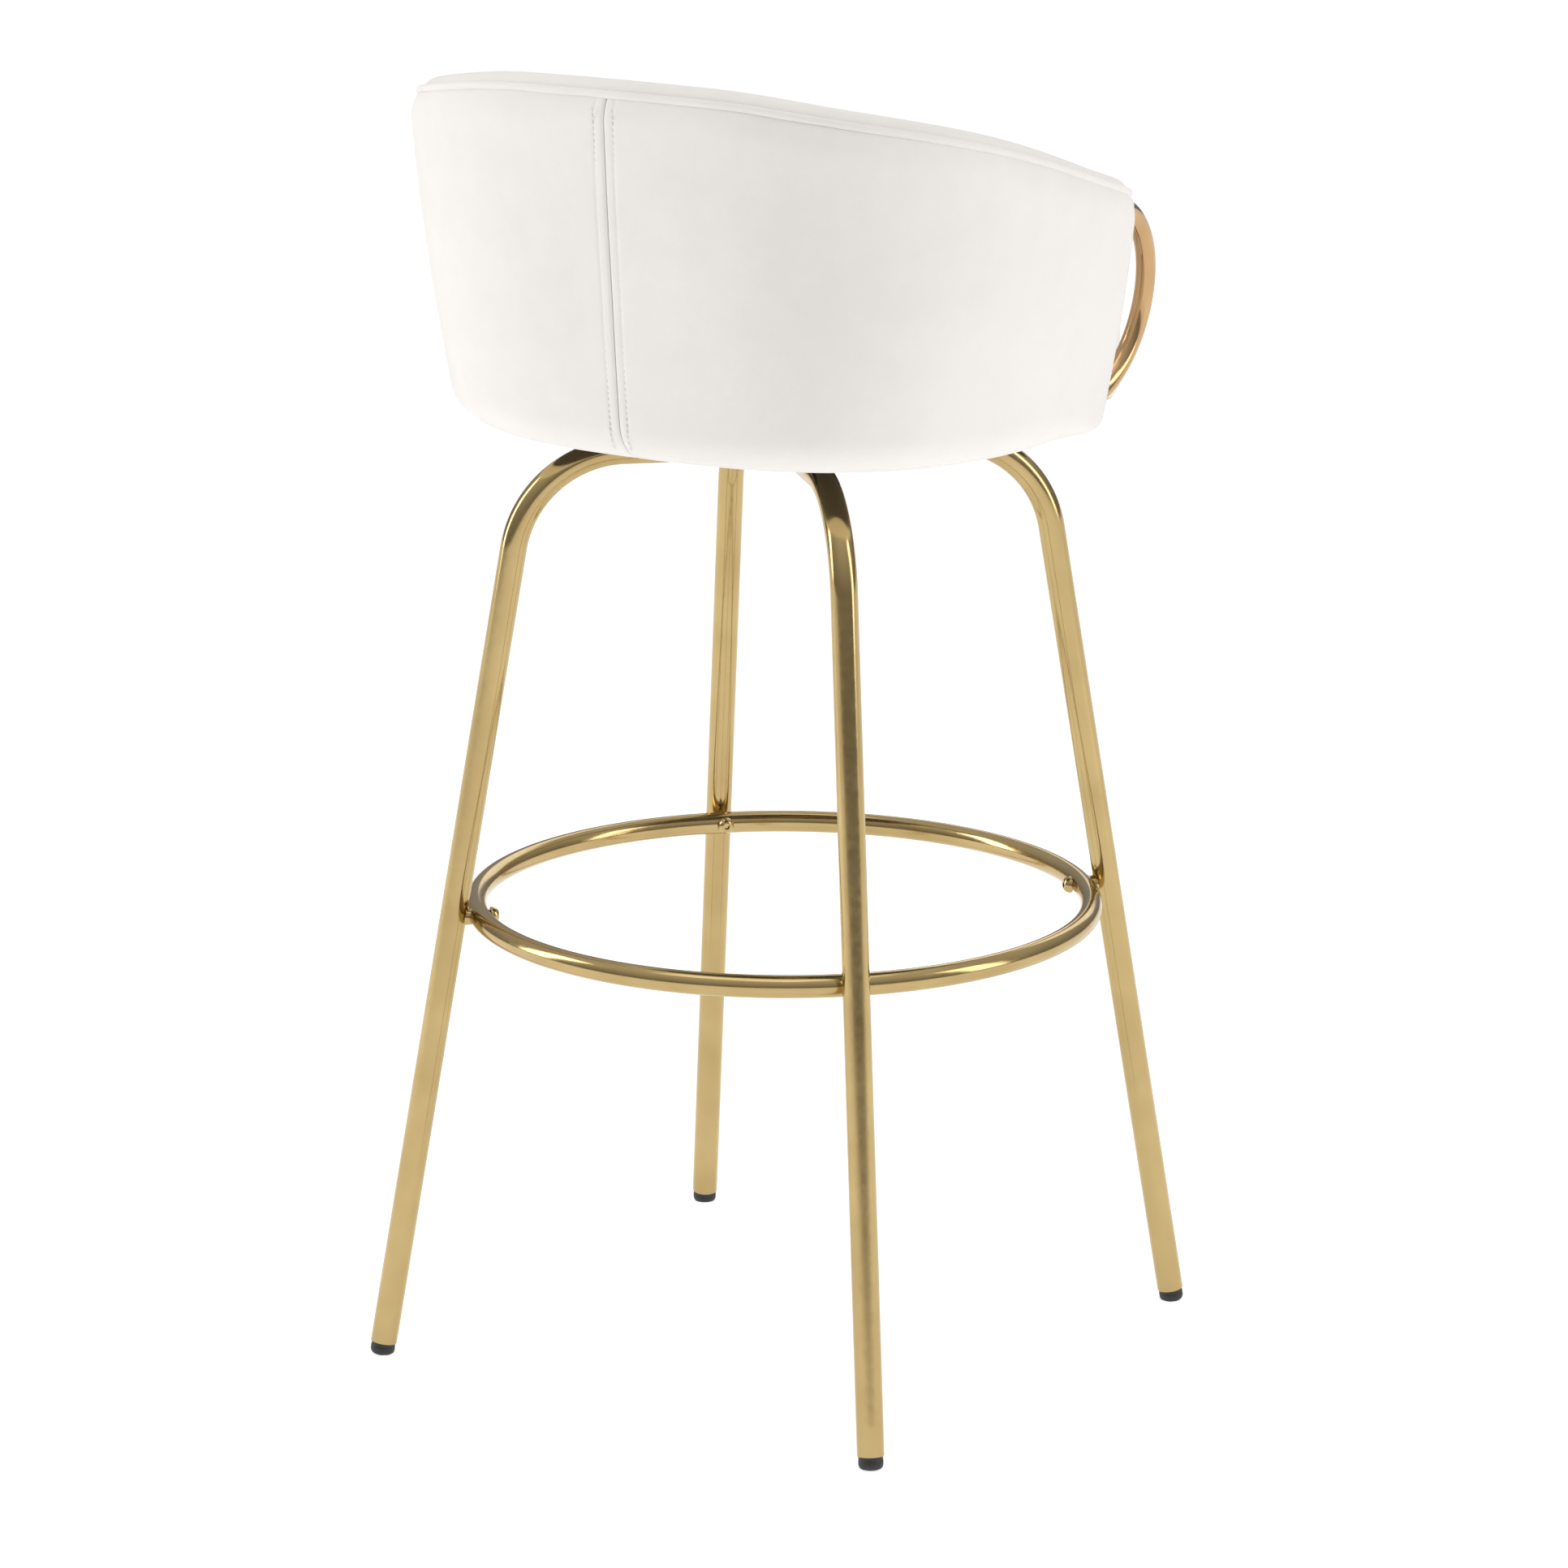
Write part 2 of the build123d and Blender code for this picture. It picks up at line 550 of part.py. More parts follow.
with BuildPart() as seat_board:
    add(shell_core(pad_inset, ARM_END_Y - GAP, [board_bottom, board_top]))
    add(seat_front_block(BOARD_INSET, board_bottom, board_top))
    for s in SIDES.values():
        near, far = s * BOARD_NECK, s * FAR
        low = (min(near, far), ARM_END_Y - 1, CUTTER_BOTTOM)
        high = (max(near, far), post_back + GAP, CUTTER_TOP)
        add(box_between(low, high), mode=Mode.SUBTRACT)
    with BuildSketch(Plane.XY.offset(board_bottom)):
        Circle(RIVET_HEAD_RADIUS + SWIVEL_CLEARANCE)
    extrude(amount=BOARD_THICKNESS, mode=Mode.SUBTRACT)
    with BuildSketch(Plane.XY.offset(board_bottom)):
        with GridLocations(UPPER_SCREW_SPACING, UPPER_SCREW_SPACING, 2, 2):
            Circle(T_NUT_BARREL)
    extrude(amount=BOARD_THICKNESS, mode=Mode.SUBTRACT)
    with BuildSketch(Plane.XY.offset(board_top - T_NUT_FLANGE)):
        with GridLocations(UPPER_SCREW_SPACING, UPPER_SCREW_SPACING, 2, 2):
            Circle(T_NUT_RADIUS)
    extrude(amount=T_NUT_FLANGE, mode=Mode.SUBTRACT)
    add(shell_screws.part, mode=Mode.SUBTRACT)
save(seat_board.part, "seat_board")

with BuildPart() as dust_cover:
    with BuildSketch(Plane.XY.offset(board_bottom - DUST_COVER_DROP)) as underside:
        with BuildLine():
            turns = [DUST_COVER_LAST_TURN * i / PLAN_POINTS for i in range(PLAN_POINTS + 1)]
            half = [plan_point(turn, board_bottom, pad_inset + 2) for turn in turns]
            edge = Spline(*([(-x, y) for x, y in reversed(half)] + half[1:]))
            Line(edge @ 1, edge @ 0)
        make_face()
        with Locations((0, (SEAT_FRONT + BOARD_INSET - DUST_COVER_OVERLAP) / 2)):
            Rectangle(2 * (CUSHION_HALF_WIDTH - BOARD_INSET - 2), -SEAT_FRONT - BOARD_INSET - DUST_COVER_OVERLAP)
        fillet(underside.vertices().group_by(Axis.Y)[0], CUSHION_CORNER_RADIUS - BOARD_INSET)
        hole_side = UPPER_PLATE_SIDE + 2 * SWIVEL_CLEARANCE
        Rectangle(hole_side, hole_side, mode=Mode.SUBTRACT)
    extrude(amount=DUST_COVER_THICKNESS)
save(dust_cover.part, "dust_cover")

# ================================================================ upholstery
cushion_levels = [board_top + GAP, 700, CUSHION_TOP]
with BuildPart() as seat_cushion:
    add(shell_core(SHELL_THICKNESS + 4 * GAP, ARM_END_Y - GAP, cushion_levels))
    add(seat_front_block(0, CUSHION_BOTTOM, CUSHION_TOP))
    add(seat_front_block(BOARD_INSET - GAP, CUSHION_BOTTOM, board_top + GAP), mode=Mode.SUBTRACT)
save(seat_cushion.part, "seat_cushion")

with BuildPart() as shell_frame:
    add(shell_layer(frame_inset, frame_inset + FRAME_THICKNESS, post_front))
    add(rim_underside, mode=Mode.INTERSECT)
    add(shell_screws.part, mode=Mode.SUBTRACT)
save(shell_frame.part, "shell_frame")

pad_levels = [board_top + GAP] + [level for level in SHELL_LEVELS if level > board_top + GAP]
with BuildPart() as back_pad:
    add(shell_layer(pad_inset, SHELL_THICKNESS, post_back + GAP, pad_levels))
    add(rim_underside, mode=Mode.INTERSECT)
save(back_pad.part, "back_pad")

for side, s in SIDES.items():
    with BuildPart() as outer_cover:
        add(shell_layer(0, COVER_THICKNESS, post_front, TUCK_LEVELS + SHELL_LEVELS, half=True))
        add(rim_underside, mode=Mode.INTERSECT)
        if s < 0:
            mirror(about=Plane.YZ, mode=Mode.REPLACE)
    save(outer_cover.part, f"outer_cover_{side}")

    with BuildPart() as arm_front:
        add(shell_layer(0, SHELL_THICKNESS, ARM_END_Y, half=True))
        add(box_between((-FAR, post_front - GAP, CUTTER_BOTTOM), (FAR, FAR, CUTTER_TOP)), mode=Mode.SUBTRACT)
        add(rim_underside, mode=Mode.INTERSECT)
        if s < 0:
            mirror(about=Plane.YZ, mode=Mode.REPLACE)
        add(hoop_screws.part, mode=Mode.SUBTRACT)
    save(arm_front.part, f"arm_front_{side}")

with BuildPart() as rim_roll:
    add(shell_layer(PIPING_WIDTH - PIPING_PROUD + GAP, SHELL_THICKNESS, ARM_END_Y))
    add(under_rim(RIM_RISE), mode=Mode.INTERSECT)
    add(under_rim(-RIM_DROP), mode=Mode.SUBTRACT)
save(rim_roll.part, "rim_roll")

with BuildPart() as rim_piping:
    add(shell_layer(-PIPING_PROUD, PIPING_WIDTH - PIPING_PROUD, ARM_END_Y))
    add(under_rim(PIPING_WIDTH - RIM_DROP), mode=Mode.INTERSECT)
    add(under_rim(-RIM_DROP), mode=Mode.SUBTRACT)
save(rim_piping.part, "rim_piping")

# ================================================================ arm hoops
for side, s in SIDES.items():
    across = hoop_up[side].cross(Vector(0, 1, 0))
    hoop_axis = Axis(hoop_centre[side], across)
    with BuildPart() as arm_hoop:
        with BuildSketch(Plane(origin=hoop_ends[side][1], z_dir=(0, -1, 0))):
            Circle(hoop_radius)
            Circle(hoop_radius - HOOP_WALL, mode=Mode.SUBTRACT)
        revolve(axis=hoop_axis, revolution_arc=180)
    save(arm_hoop.part, f"arm_hoop_{side}")

with BuildPart() as hoop_inserts:
    for side in SIDES:
        across = hoop_up[side].cross(Vector(0, 1, 0))
        for end, direction in zip(hoop_ends[side], (-across, across)):
            with BuildSketch(Plane(origin=end, z_dir=(0, -1, 0))):
                Circle(hoop_radius - HOOP_WALL - 0.1)
            revolve(axis=Axis(hoop_centre[side], direction), revolution_arc=HOOP_INSERT_ANGLE)
    add(hoop_screws.part, mode=Mode.SUBTRACT)
save(hoop_inserts.part, "hoop_inserts")
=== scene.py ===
"""The looks of the swivelling barrel bar stool: velvet upholstery, polished gold tube, studio.

Metres, +Z up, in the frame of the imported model. The seat faces -Y and the sitter's left is +X.
"""

import json
from math import acos, atan, cos, degrees, pi, radians, sin, sqrt

import bmesh
import bpy
import numpy as np
from mathutils import Matrix, Vector


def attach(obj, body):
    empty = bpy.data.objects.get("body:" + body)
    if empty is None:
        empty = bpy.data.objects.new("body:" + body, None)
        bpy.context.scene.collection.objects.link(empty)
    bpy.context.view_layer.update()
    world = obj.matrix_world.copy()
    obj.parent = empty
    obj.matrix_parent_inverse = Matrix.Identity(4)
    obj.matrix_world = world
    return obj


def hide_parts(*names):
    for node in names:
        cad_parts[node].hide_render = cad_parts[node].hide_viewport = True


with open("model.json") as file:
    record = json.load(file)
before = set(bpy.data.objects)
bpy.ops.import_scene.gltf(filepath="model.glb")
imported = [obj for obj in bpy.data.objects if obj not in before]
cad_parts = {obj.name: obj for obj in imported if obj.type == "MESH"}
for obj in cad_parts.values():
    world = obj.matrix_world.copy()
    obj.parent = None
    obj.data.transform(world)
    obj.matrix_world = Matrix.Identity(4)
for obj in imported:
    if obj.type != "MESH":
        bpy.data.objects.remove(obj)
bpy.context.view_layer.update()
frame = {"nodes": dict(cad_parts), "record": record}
nodes = frame["nodes"]

MM = 0.001

# ---------------------------------------------------------------- shell, as in the CAD model
WALL_LEVEL = 700 * MM                     # the two curves below start from this height
HALF_WIDTH = (228.5, 0.195, -0.00025)     # mm, per mm of rise, per mm squared
BACK_REACH = (219.0, 0.083)               # mm, per mm of rise
MEASURE_HEIGHT = 800 * MM                 # lengths along the shell are taken here
SHELL_BOTTOM = 672 * MM
SHELL_ROUND = 27 * MM
SHELL_CENTRE_Y = -13 * MM
SHELL_FRONT_REACH = 140 * MM
SHELL_EXPONENT = 2.6
SHELL_THICKNESS = 42 * MM
ARM_END_Y = -72 * MM
ARM_CAP = 5 * MM
CUSHION_TOP = 758 * MM
RIM_ANGLES = np.arange(0, 132, 12)
RIM_HEIGHTS = np.array([930.5, 930, 928, 921.5, 913, 902, 887.5, 871.5, 856.5, 843.5, 832]) * MM

# ---------------------------------------------------------------- tubes
LEG_RADIUS = 9.5 * MM
LEG_BEND = 80 * MM
LEG_RUN_HEIGHT = 655.5 * MM
LEG_SLOPE = 0.1714
FOOT_RADIUS = 295.3 * MM
TUBE_END = 8.5 * MM
TUBE_WALL = 1.2 * MM
LEG_START = 10 * MM
RING_RADIUS = 220.8 * MM
RING_TUBE = 8 * MM
RING_HEIGHT = 323 * MM
HOOP_RADIUS = 72 * MM
HOOP_TUBE = 7.0 * MM
HOOP_X = 205.5 * MM
HOOP_Z = 763 * MM
HOOP_LEAN = radians(8.3)
HOOP_SINK = 3 * MM                        # the ends sit in the arm pads

LEGS = {"front_left": -45, "front_right": -135, "rear_left": 45, "rear_right": 135}
SIDES = {"left": 1, "right": -1}


# ================================================================ materials
class Shader:
    """A material's nodes, made one call at a time."""

    def __init__(self, name):
        self.material = bpy.data.materials.new(name)
        self.material.use_nodes = True
        self.tree = self.material.node_tree
        self.surface = self.tree.nodes["Principled BSDF"]

    def set(self, **values):
        for name, value in values.items():
            self.surface.inputs[name.replace("_", " ")].default_value = value

    def add(self, kind, **settings):
        made = self.tree.nodes.new(kind)
        for name, value in settings.items():
            if name in made.inputs:
                made.inputs[name].default_value = value
            else:
                setattr(made, name, value)
        return made

    def link(self, source, output, target, socket):
        self.tree.links.new(source.outputs[output], target.inputs[socket])

    def noise(self, scale, detail=3.0, roughness=0.5, stretch=(1, 1, 1)):
        place = self.add("ShaderNodeTexCoord")
        mapping = self.add("ShaderNodeMapping")
        mapping.inputs["Scale"].default_value = stretch
        texture = self.add("ShaderNodeTexNoise", Scale=scale, Detail=detail, Roughness=roughness)
        self.link(place, "Object", mapping, "Vector")
        self.link(mapping, "Vector", texture, "Vector")
        return texture

    def ramp(self, source, output, low, high, colours):
        ramp = self.add("ShaderNodeValToRGB")
        ramp.color_ramp.elements[0].position = low
        ramp.color_ramp.elements[1].position = high
        for element, colour in zip(ramp.color_ramp.elements, colours):
            element.color = (*colour, 1)
        self.link(source, output, ramp, "Fac")
        return ramp

    def colour_from(self, source, output, low, high, colours):
        ramp = self.ramp(source, output, low, high, colours)
        self.link(ramp, "Color", self.surface, "Base Color")

    def roughness_from(self, source, output, low, high, smooth, rough):
        ramp = self.ramp(source, output, low, high, [(smooth,) * 3, (rough,) * 3])
        self.link(ramp, "Color", self.surface, "Roughness")

    def bump(self, sources, distance):
        """Chain of bumps; sources is a list of (node, output, strength)."""
        last = None
        for node, output, strength in sources:
            bump = self.add("ShaderNodeBump", Strength=strength, Distance=distance)
            self.link(node, output, bump, "Height")
            if last:
                self.link(last, "Normal", bump, "Normal")
            last = bump
        self.link(last, "Normal", self.surface, "Normal")


def gold_material(name, tones):
    gold = Shader(name)
    gold.set(Metallic=1.0)
    cloud = gold.noise(22, 2)
    gold.colour_from(cloud, "Fac", 0.3, 0.7, tones)
    polish = gold.noise(160, 4)
    gold.roughness_from(polish, "Fac", 0.35, 0.7, 0.13, 0.19)
    ripple = gold.noise(60, 2)
    gold.bump([(ripple, "Fac", 0.05)], 0.0006)
    return gold.material


def velvet_material():
    velvet = Shader("ivory_velvet")
    velvet.set(Roughness=0.95)
    velvet.set(Sheen_Weight=0.55, Sheen_Roughness=0.38, Sheen_Tint=(1, 0.99, 0.975, 1))
    velvet.set(Specular_IOR_Level=0.12)
    nap = velvet.noise(9, 4, 0.55)
    marks = velvet.noise(38, 5, 0.6)
    mix = velvet.add("ShaderNodeMix", data_type="FLOAT")
    mix.inputs[0].default_value = 0.4
    velvet.link(nap, "Fac", mix, 2)
    velvet.link(marks, "Fac", mix, 3)
    velvet.colour_from(mix, 0, 0.35, 0.65, [(0.87, 0.84, 0.805), (0.915, 0.885, 0.85)])
    pile = velvet.noise(2600, 2, 0.6)
    tuft = velvet.noise(700, 3, 0.6)
    velvet.bump([(tuft, "Fac", 0.20), (pile, "Fac", 0.35)], 0.0004)
    return velvet.material


def thread_material():
    thread = Shader("ivory_thread")
    thread.set(Roughness=0.6)
    twist = thread.noise(1800, 2, 0.5, (1, 1, 3))
    thread.colour_from(twist, "Fac", 0.3, 0.7, [(0.66, 0.645, 0.62), (0.80, 0.79, 0.765)])
    thread.bump([(twist, "Fac", 0.4)], 0.0002)
    return thread.material


def plain_material(name, colours, smooth, rough, scale,
                   bump=0.1, metallic=0.0, stretch=(1, 1, 1)):
    """Grained material: two colours, a roughness range and a fine bump from one noise."""
    shader = Shader(name)
    shader.set(Metallic=metallic)
    grain = shader.noise(scale, 5, 0.6, stretch)
    shader.colour_from(grain, "Fac", 0.3, 0.7, colours)
    shader.roughness_from(grain, "Fac", 0.3, 0.7, smooth, rough)
    shader.bump([(grain, "Fac", bump)], 0.0003)
    return shader.material


def dust_cloth_material():
    cloth = Shader("dust_cloth")
    cloth.set(Roughness=0.95)
    place = cloth.add("ShaderNodeTexCoord")
    dots = cloth.add("ShaderNodeTexVoronoi", Scale=520.0)
    cloth.link(place, "Object", dots, "Vector")
    cloth.colour_from(dots, "Distance", 0.1, 0.6, [(0.05, 0.05, 0.052), (0.10, 0.10, 0.104)])
    cloth.bump([(dots, "Distance", 0.5)], 0.0003)
    return cloth.material


GOLD = gold_material("polished_gold", [(0.455, 0.330, 0.145), (0.525, 0.388, 0.178)])
HOOP_GOLD = gold_material("warm_gold", [(0.50, 0.318, 0.155), (0.575, 0.375, 0.190)])
VELVET = velvet_material()
THREAD = thread_material()
PLASTIC = plain_material(
    "glide_plastic", [(0.016, 0.016, 0.018), (0.03, 0.03, 0.032)], 0.45, 0.62, 900)
NYLON = plain_material(
    "cage_plastic", [(0.66, 0.65, 0.61), (0.74, 0.73, 0.69)], 0.4, 0.55, 700)
BLACK_STEEL = plain_material(
    "black_steel", [(0.022, 0.022, 0.024), (0.04, 0.04, 0.043)], 0.38, 0.52, 1400, bump=0.35)
ZINC = plain_material(
    "zinc", [(0.52, 0.53, 0.55), (0.66, 0.67, 0.69)], 0.24, 0.42, 420, metallic=1.0)
PLYWOOD = plain_material(
    "plywood", [(0.48, 0.33, 0.19), (0.66, 0.50, 0.32)], 0.55, 0.75, 60,
    bump=0.2, stretch=(1, 9, 9))
DUST_CLOTH = dust_cloth_material()

BY_SLOT = {
    "gold": GOLD, "velvet": VELVET, "glide_plastic": PLASTIC, "cage_plastic": NYLON,
    "black_steel": BLACK_STEEL, "zinc": ZINC, "plywood": PLYWOOD, "dust_cloth": DUST_CLOTH,
}
for subpart in frame["record"]["subparts"]:
    mesh = nodes[subpart["node"]].data
    mesh.materials.clear()
    mesh.materials.append(BY_SLOT[subpart["material_slot"]])


# ================================================================ mesh helpers
def piece(name, verts, faces, material, body, slot, smooth=True):
    """New mesh object that rides on a body, in the given material; its slot is not used."""
    mesh = bpy.data.meshes.new(name)
    mesh.from_pydata([tuple(v) for v in verts], [], faces)
    tidy = bmesh.new()
    tidy.from_mesh(mesh)
    bmesh.ops.remove_doubles(tidy, verts=tidy.verts, dist=1e-6)
    bmesh.ops.recalc_face_normals(tidy, faces=tidy.faces)
    tidy.to_mesh(mesh)
    tidy.free()
    mesh.materials.append(material)
    if smooth:
        mesh.polygons.foreach_set("use_smooth", [True] * len(mesh.polygons))
    made = bpy.data.objects.new(name, mesh)
    bpy.context.scene.collection.objects.link(made)
    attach(made, body)
    return made


def loops_to_faces(count, size, closed_path=False, closed_loop=True):
    """Quads between successive loops of points."""
    faces = []
    for i in range(count if closed_path else count - 1):
        for j in range(size if closed_loop else size - 1):
            a, b = i * size, ((i + 1) % count) * size
            k = (j + 1) % size
            faces.append((a + j, a + k, b + k, b + j))
    return faces


def capped(loops):
    """Vertices and faces of a tube of loops with flat ends."""
    loops = np.asarray(loops, float)
    count, size = loops.shape[:2]
    faces = loops_to_faces(count, size)
    faces.append(tuple(reversed(range(size))))
    faces.append(tuple((count - 1) * size + j for j in range(size)))
    return loops.reshape(-1, 3), faces


def apply_modifiers(made):
    """Replaces a mesh by the result of its modifiers."""
    bpy.context.view_layer.update()
    graph = bpy.context.evaluated_depsgraph_get()
    mesh = bpy.data.meshes.new_from_object(made.evaluated_get(graph))
    made.modifiers.clear()
    old = made.data
    made.data = mesh
    bpy.data.meshes.remove(old)
    mesh.polygons.foreach_set("use_smooth", [True] * len(mesh.polygons))


def circle(radius, count):
    angles = np.linspace(0, 2 * pi, count, endpoint=False)
    return np.c_[radius * np.cos(angles), radius * np.sin(angles)]


# ================================================================ tubes
TUBE_LIP = 0.5 * MM
OPEN_DEPTH = 12 * MM                      # how far an open end is modelled inside


def with_lips(path, radius, hollow):
    """Adds the rounded lip, and the inside of an open end, to a tube's path and radii."""
    path = [Vector(p) for p in path]
    bore = radius - TUBE_WALL
    points, radii = [], []
    ends = [(path[0], (path[0] - path[1]).normalized()),
            (path[-1], (path[-1] - path[-2]).normalized())]
    for index, (end, out) in enumerate(ends):
        turned = []
        if hollow:
            turned += [(end - out * OPEN_DEPTH, bore), (end - out * TUBE_LIP, bore)]
        for step in range(5):
            angle = pi / 2 * step / 4
            back, narrow = TUBE_LIP * (1 - cos(angle)), TUBE_LIP * (1 - sin(angle))
            turned.append((end - out * back, radius - narrow))
        if index == 0:
            points, radii = [p for p, _ in turned], [r for _, r in turned]
            points += path[1:-1]
            radii += [radius] * (len(path) - 2)
        else:
            points += [p for p, _ in reversed(turned)]
            radii += [r for _, r in reversed(turned)]
    return points, radii


def leg_path(azimuth):
    """Centre line of a bent leg tube, from under the seat to the floor."""
    corner = FOOT_RADIUS - LEG_SLOPE * LEG_RUN_HEIGHT
    turn = pi / 2 - atan(LEG_SLOPE)
    tangent = LEG_BEND * (sin(turn / 2) / cos(turn / 2))
    flat = [(LEG_START + (corner - tangent - LEG_START) * i / 6, LEG_RUN_HEIGHT) for i in range(6)]
    centre = (corner - tangent, LEG_RUN_HEIGHT - LEG_BEND)
    for i in range(33):
        angle = pi / 2 - turn * i / 32
        flat.append((centre[0] + LEG_BEND * cos(angle), centre[1] + LEG_BEND * sin(angle)))
    last = flat[-1]
    end = (FOOT_RADIUS - LEG_SLOPE * TUBE_END, TUBE_END)
    flat += [
        (last[0] + (end[0] - last[0]) * i / 24, last[1] + (end[1] - last[1]) * i / 24)
        for i in range(1, 25)
    ]
    out = Vector((cos(azimuth), sin(azimuth), 0))
    return [out * r + Vector((0, 0, z)) for r, z in flat], out


def add_tube(name, path, radius, normal, hollow, body, replaced, material=GOLD):
    """Gold tube along a flat path with real open or plugged ends."""
    points, radii = with_lips(path, radius, hollow)
    points = np.array([tuple(p) for p in points])
    clean = np.array([tuple(p) for p in path])
    heading_at = np.gradient(clean, axis=0)
    heading_at /= np.linalg.norm(heading_at, axis=1)[:, None]
    nearest = [int(np.argmin(np.linalg.norm(clean - p, axis=1))) for p in points]
    normal = np.asarray(normal, float)
    ring = circle(1.0, 44)
    loops = []
    for point, r, index in zip(points, radii, nearest):
        side = np.cross(normal, heading_at[index])
        loops.append(point + r * (ring[:, :1] * side + ring[:, 1:] * normal))
    made = piece(name, *capped(loops), material, body, "gold")
    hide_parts(replaced)


def add_legs():
    for leg, azimuth in LEGS.items():
        path, out = leg_path(radians(azimuth))
        normal = out.cross(Vector((0, 0, 1)))
        add_tube(f"tube_{leg}", path, LEG_RADIUS, normal, True, "base", f"leg_{leg}")


# radius and height above the tube's end, mm
GLIDE_PROFILE = [
    (0, 11), (7.6, 11), (8.0, 10.4), (8.2, 0.5), (8.7, 0.2), (8.7, -1.2), (8.45, -1.5),
    (8.45, -2.1), (8.7, -2.4), (8.7, -5.6), (8.45, -6.9), (7.8, -8.1), (6.8, -8.9), (5.5, -9.4),
    (0, -9.6),
]


def add_glides():
    """Plastic plug feet: a stem in the tube, a grooved shoulder and a worn, flat sole."""
    turns = np.linspace(0, 2 * pi, 40, endpoint=False)
    for leg, azimuth in LEGS.items():
        angle = radians(azimuth)
        out = np.array([cos(angle), sin(angle), 0])
        down = out * LEG_SLOPE + np.array([0, 0, -1.0])
        down /= np.linalg.norm(down)
        across = np.cross(down, (-sin(angle), cos(angle), 0))
        around = np.array([-sin(angle), cos(angle), 0])
        end = out * (FOOT_RADIUS - LEG_SLOPE * TUBE_END) + np.array([0, 0, TUBE_END])
        loops = []
        for r, height in GLIDE_PROFILE:
            r = max(r, 0.02) * MM
            centre = end - down * height * MM
            loops.append([centre + r * (cos(t) * across + sin(t) * around) for t in turns])
        verts, faces = capped(loops)
        verts[:, 2] = np.maximum(verts[:, 2], 0)
        made = piece(f"foot_{leg}", verts, faces, PLASTIC, "base", "glide_plastic")
        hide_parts(f"glide_{leg}")


# The ring's screws: radius and rise over the dome, then the socket's rises and half width, mm
SCREW_DOME = [
    (6.0, 0.0), (6.1, 0.5), (6.1, 1.3), (5.9, 2.4), (5.3, 3.8), (4.5, 4.8), (3.6, 5.5), (2.9, 5.8),
]
SOCKET_RISES = (5.7, 3.2)
SOCKET_SIZE = 2.35
SCREW_SINK = 0.15 * MM                    # under the tube's inner side


def add_footrest():
    turns = np.linspace(0, 2 * pi, 220, endpoint=False)
    ring = circle(RING_TUBE, 40)
    loops = [
        [((RING_RADIUS + r) * cos(t), (RING_RADIUS + r) * sin(t), RING_HEIGHT + z) for r, z in ring]
        for t in turns
    ]
    verts = np.array(loops).reshape(-1, 3)
    faces = loops_to_faces(len(turns), len(ring), closed_path=True)
    made = piece("footrest_tube", verts, faces, GOLD, "base", "gold")
    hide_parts("footrest_ring")
    add_ring_screws()


def add_ring_screws():
    """Domed screws with hexagon sockets, on the inside of the ring."""
    turns = np.linspace(0, 2 * pi, 36, endpoint=False)
    verts, faces = [], []
    for azimuth in LEGS.values():
        angle = radians(azimuth)
        inward = np.array([-cos(angle), -sin(angle), 0])
        across = np.array([-sin(angle), cos(angle), 0])
        up = np.array([0, 0, 1.0])
        base = -inward * (RING_RADIUS - RING_TUBE + SCREW_SINK) + up * RING_HEIGHT
        loops = []
        for r, rise in SCREW_DOME:
            loops.append([
                base + inward * rise * MM + r * MM * (cos(t) * across + sin(t) * up)
                for t in turns
            ])
        for rise in SOCKET_RISES:
            hexagon = []
            for t in turns:
                flat = cos(pi / 6) / cos((t % (pi / 3)) - pi / 6)
                spoke = SOCKET_SIZE * flat * MM * (cos(t) * across + sin(t) * up)
                hexagon.append(base + inward * rise * MM + spoke)
            loops.append(hexagon)
        part_verts, part_faces = capped(loops)
        faces += [tuple(i + len(verts) for i in face) for face in part_faces]
        verts += list(part_verts)
    made = piece("ring_screw_heads", verts, faces, GOLD, "base", "gold")
    edges = made.modifiers.new("edges", "EDGE_SPLIT")
    edges.split_angle = radians(40)
    apply_modifiers(made)
    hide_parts("footrest_screws")


def add_hoops():
    """Half-round tubes at the arms' ends, leaning outwards."""
    ahead = Vector((0, -1, 0))
    for name, side in SIDES.items():
        centre = Vector((side * HOOP_X, ARM_END_Y, HOOP_Z))
        up = Vector((side * sin(HOOP_LEAN), 0, cos(HOOP_LEAN)))
        path = [
            centre + up * HOOP_RADIUS * cos(pi * i / 72) + ahead * HOOP_RADIUS * sin(pi * i / 72)
            for i in range(73)
        ]
        path = [path[0] - ahead * HOOP_SINK, *path, path[-1] - ahead * HOOP_SINK]
        add_tube(f"hoop_{name}", path, HOOP_TUBE, up.cross(ahead), False, "seat",
                 f"arm_hoop_{name}", HOOP_GOLD)


# ================================================================ shell surface
def natural_spline(xs, ys, x):
    """Smooth curve through a few points."""
    count, gap = len(xs), np.diff(xs)
    matrix, right = np.eye(count), np.zeros(count)
    for i in range(1, count - 1):
        matrix[i, i - 1:i + 2] = gap[i - 1], 2 * (gap[i - 1] + gap[i]), gap[i]
        right[i] = 6 * ((ys[i + 1] - ys[i]) / gap[i] - (ys[i] - ys[i - 1]) / gap[i - 1])
    bend = np.linalg.solve(matrix, right)
    i = np.clip(np.searchsorted(xs, x) - 1, 0, count - 2)
    a, b, h = xs[i + 1] - x, x - xs[i], gap[i]
    curve = (bend[i] * a**3 + bend[i + 1] * b**3) / (6 * h)
    curve += (ys[i] / h - bend[i] * h / 6) * a
    return curve + (ys[i + 1] / h - bend[i + 1] * h / 6) * b


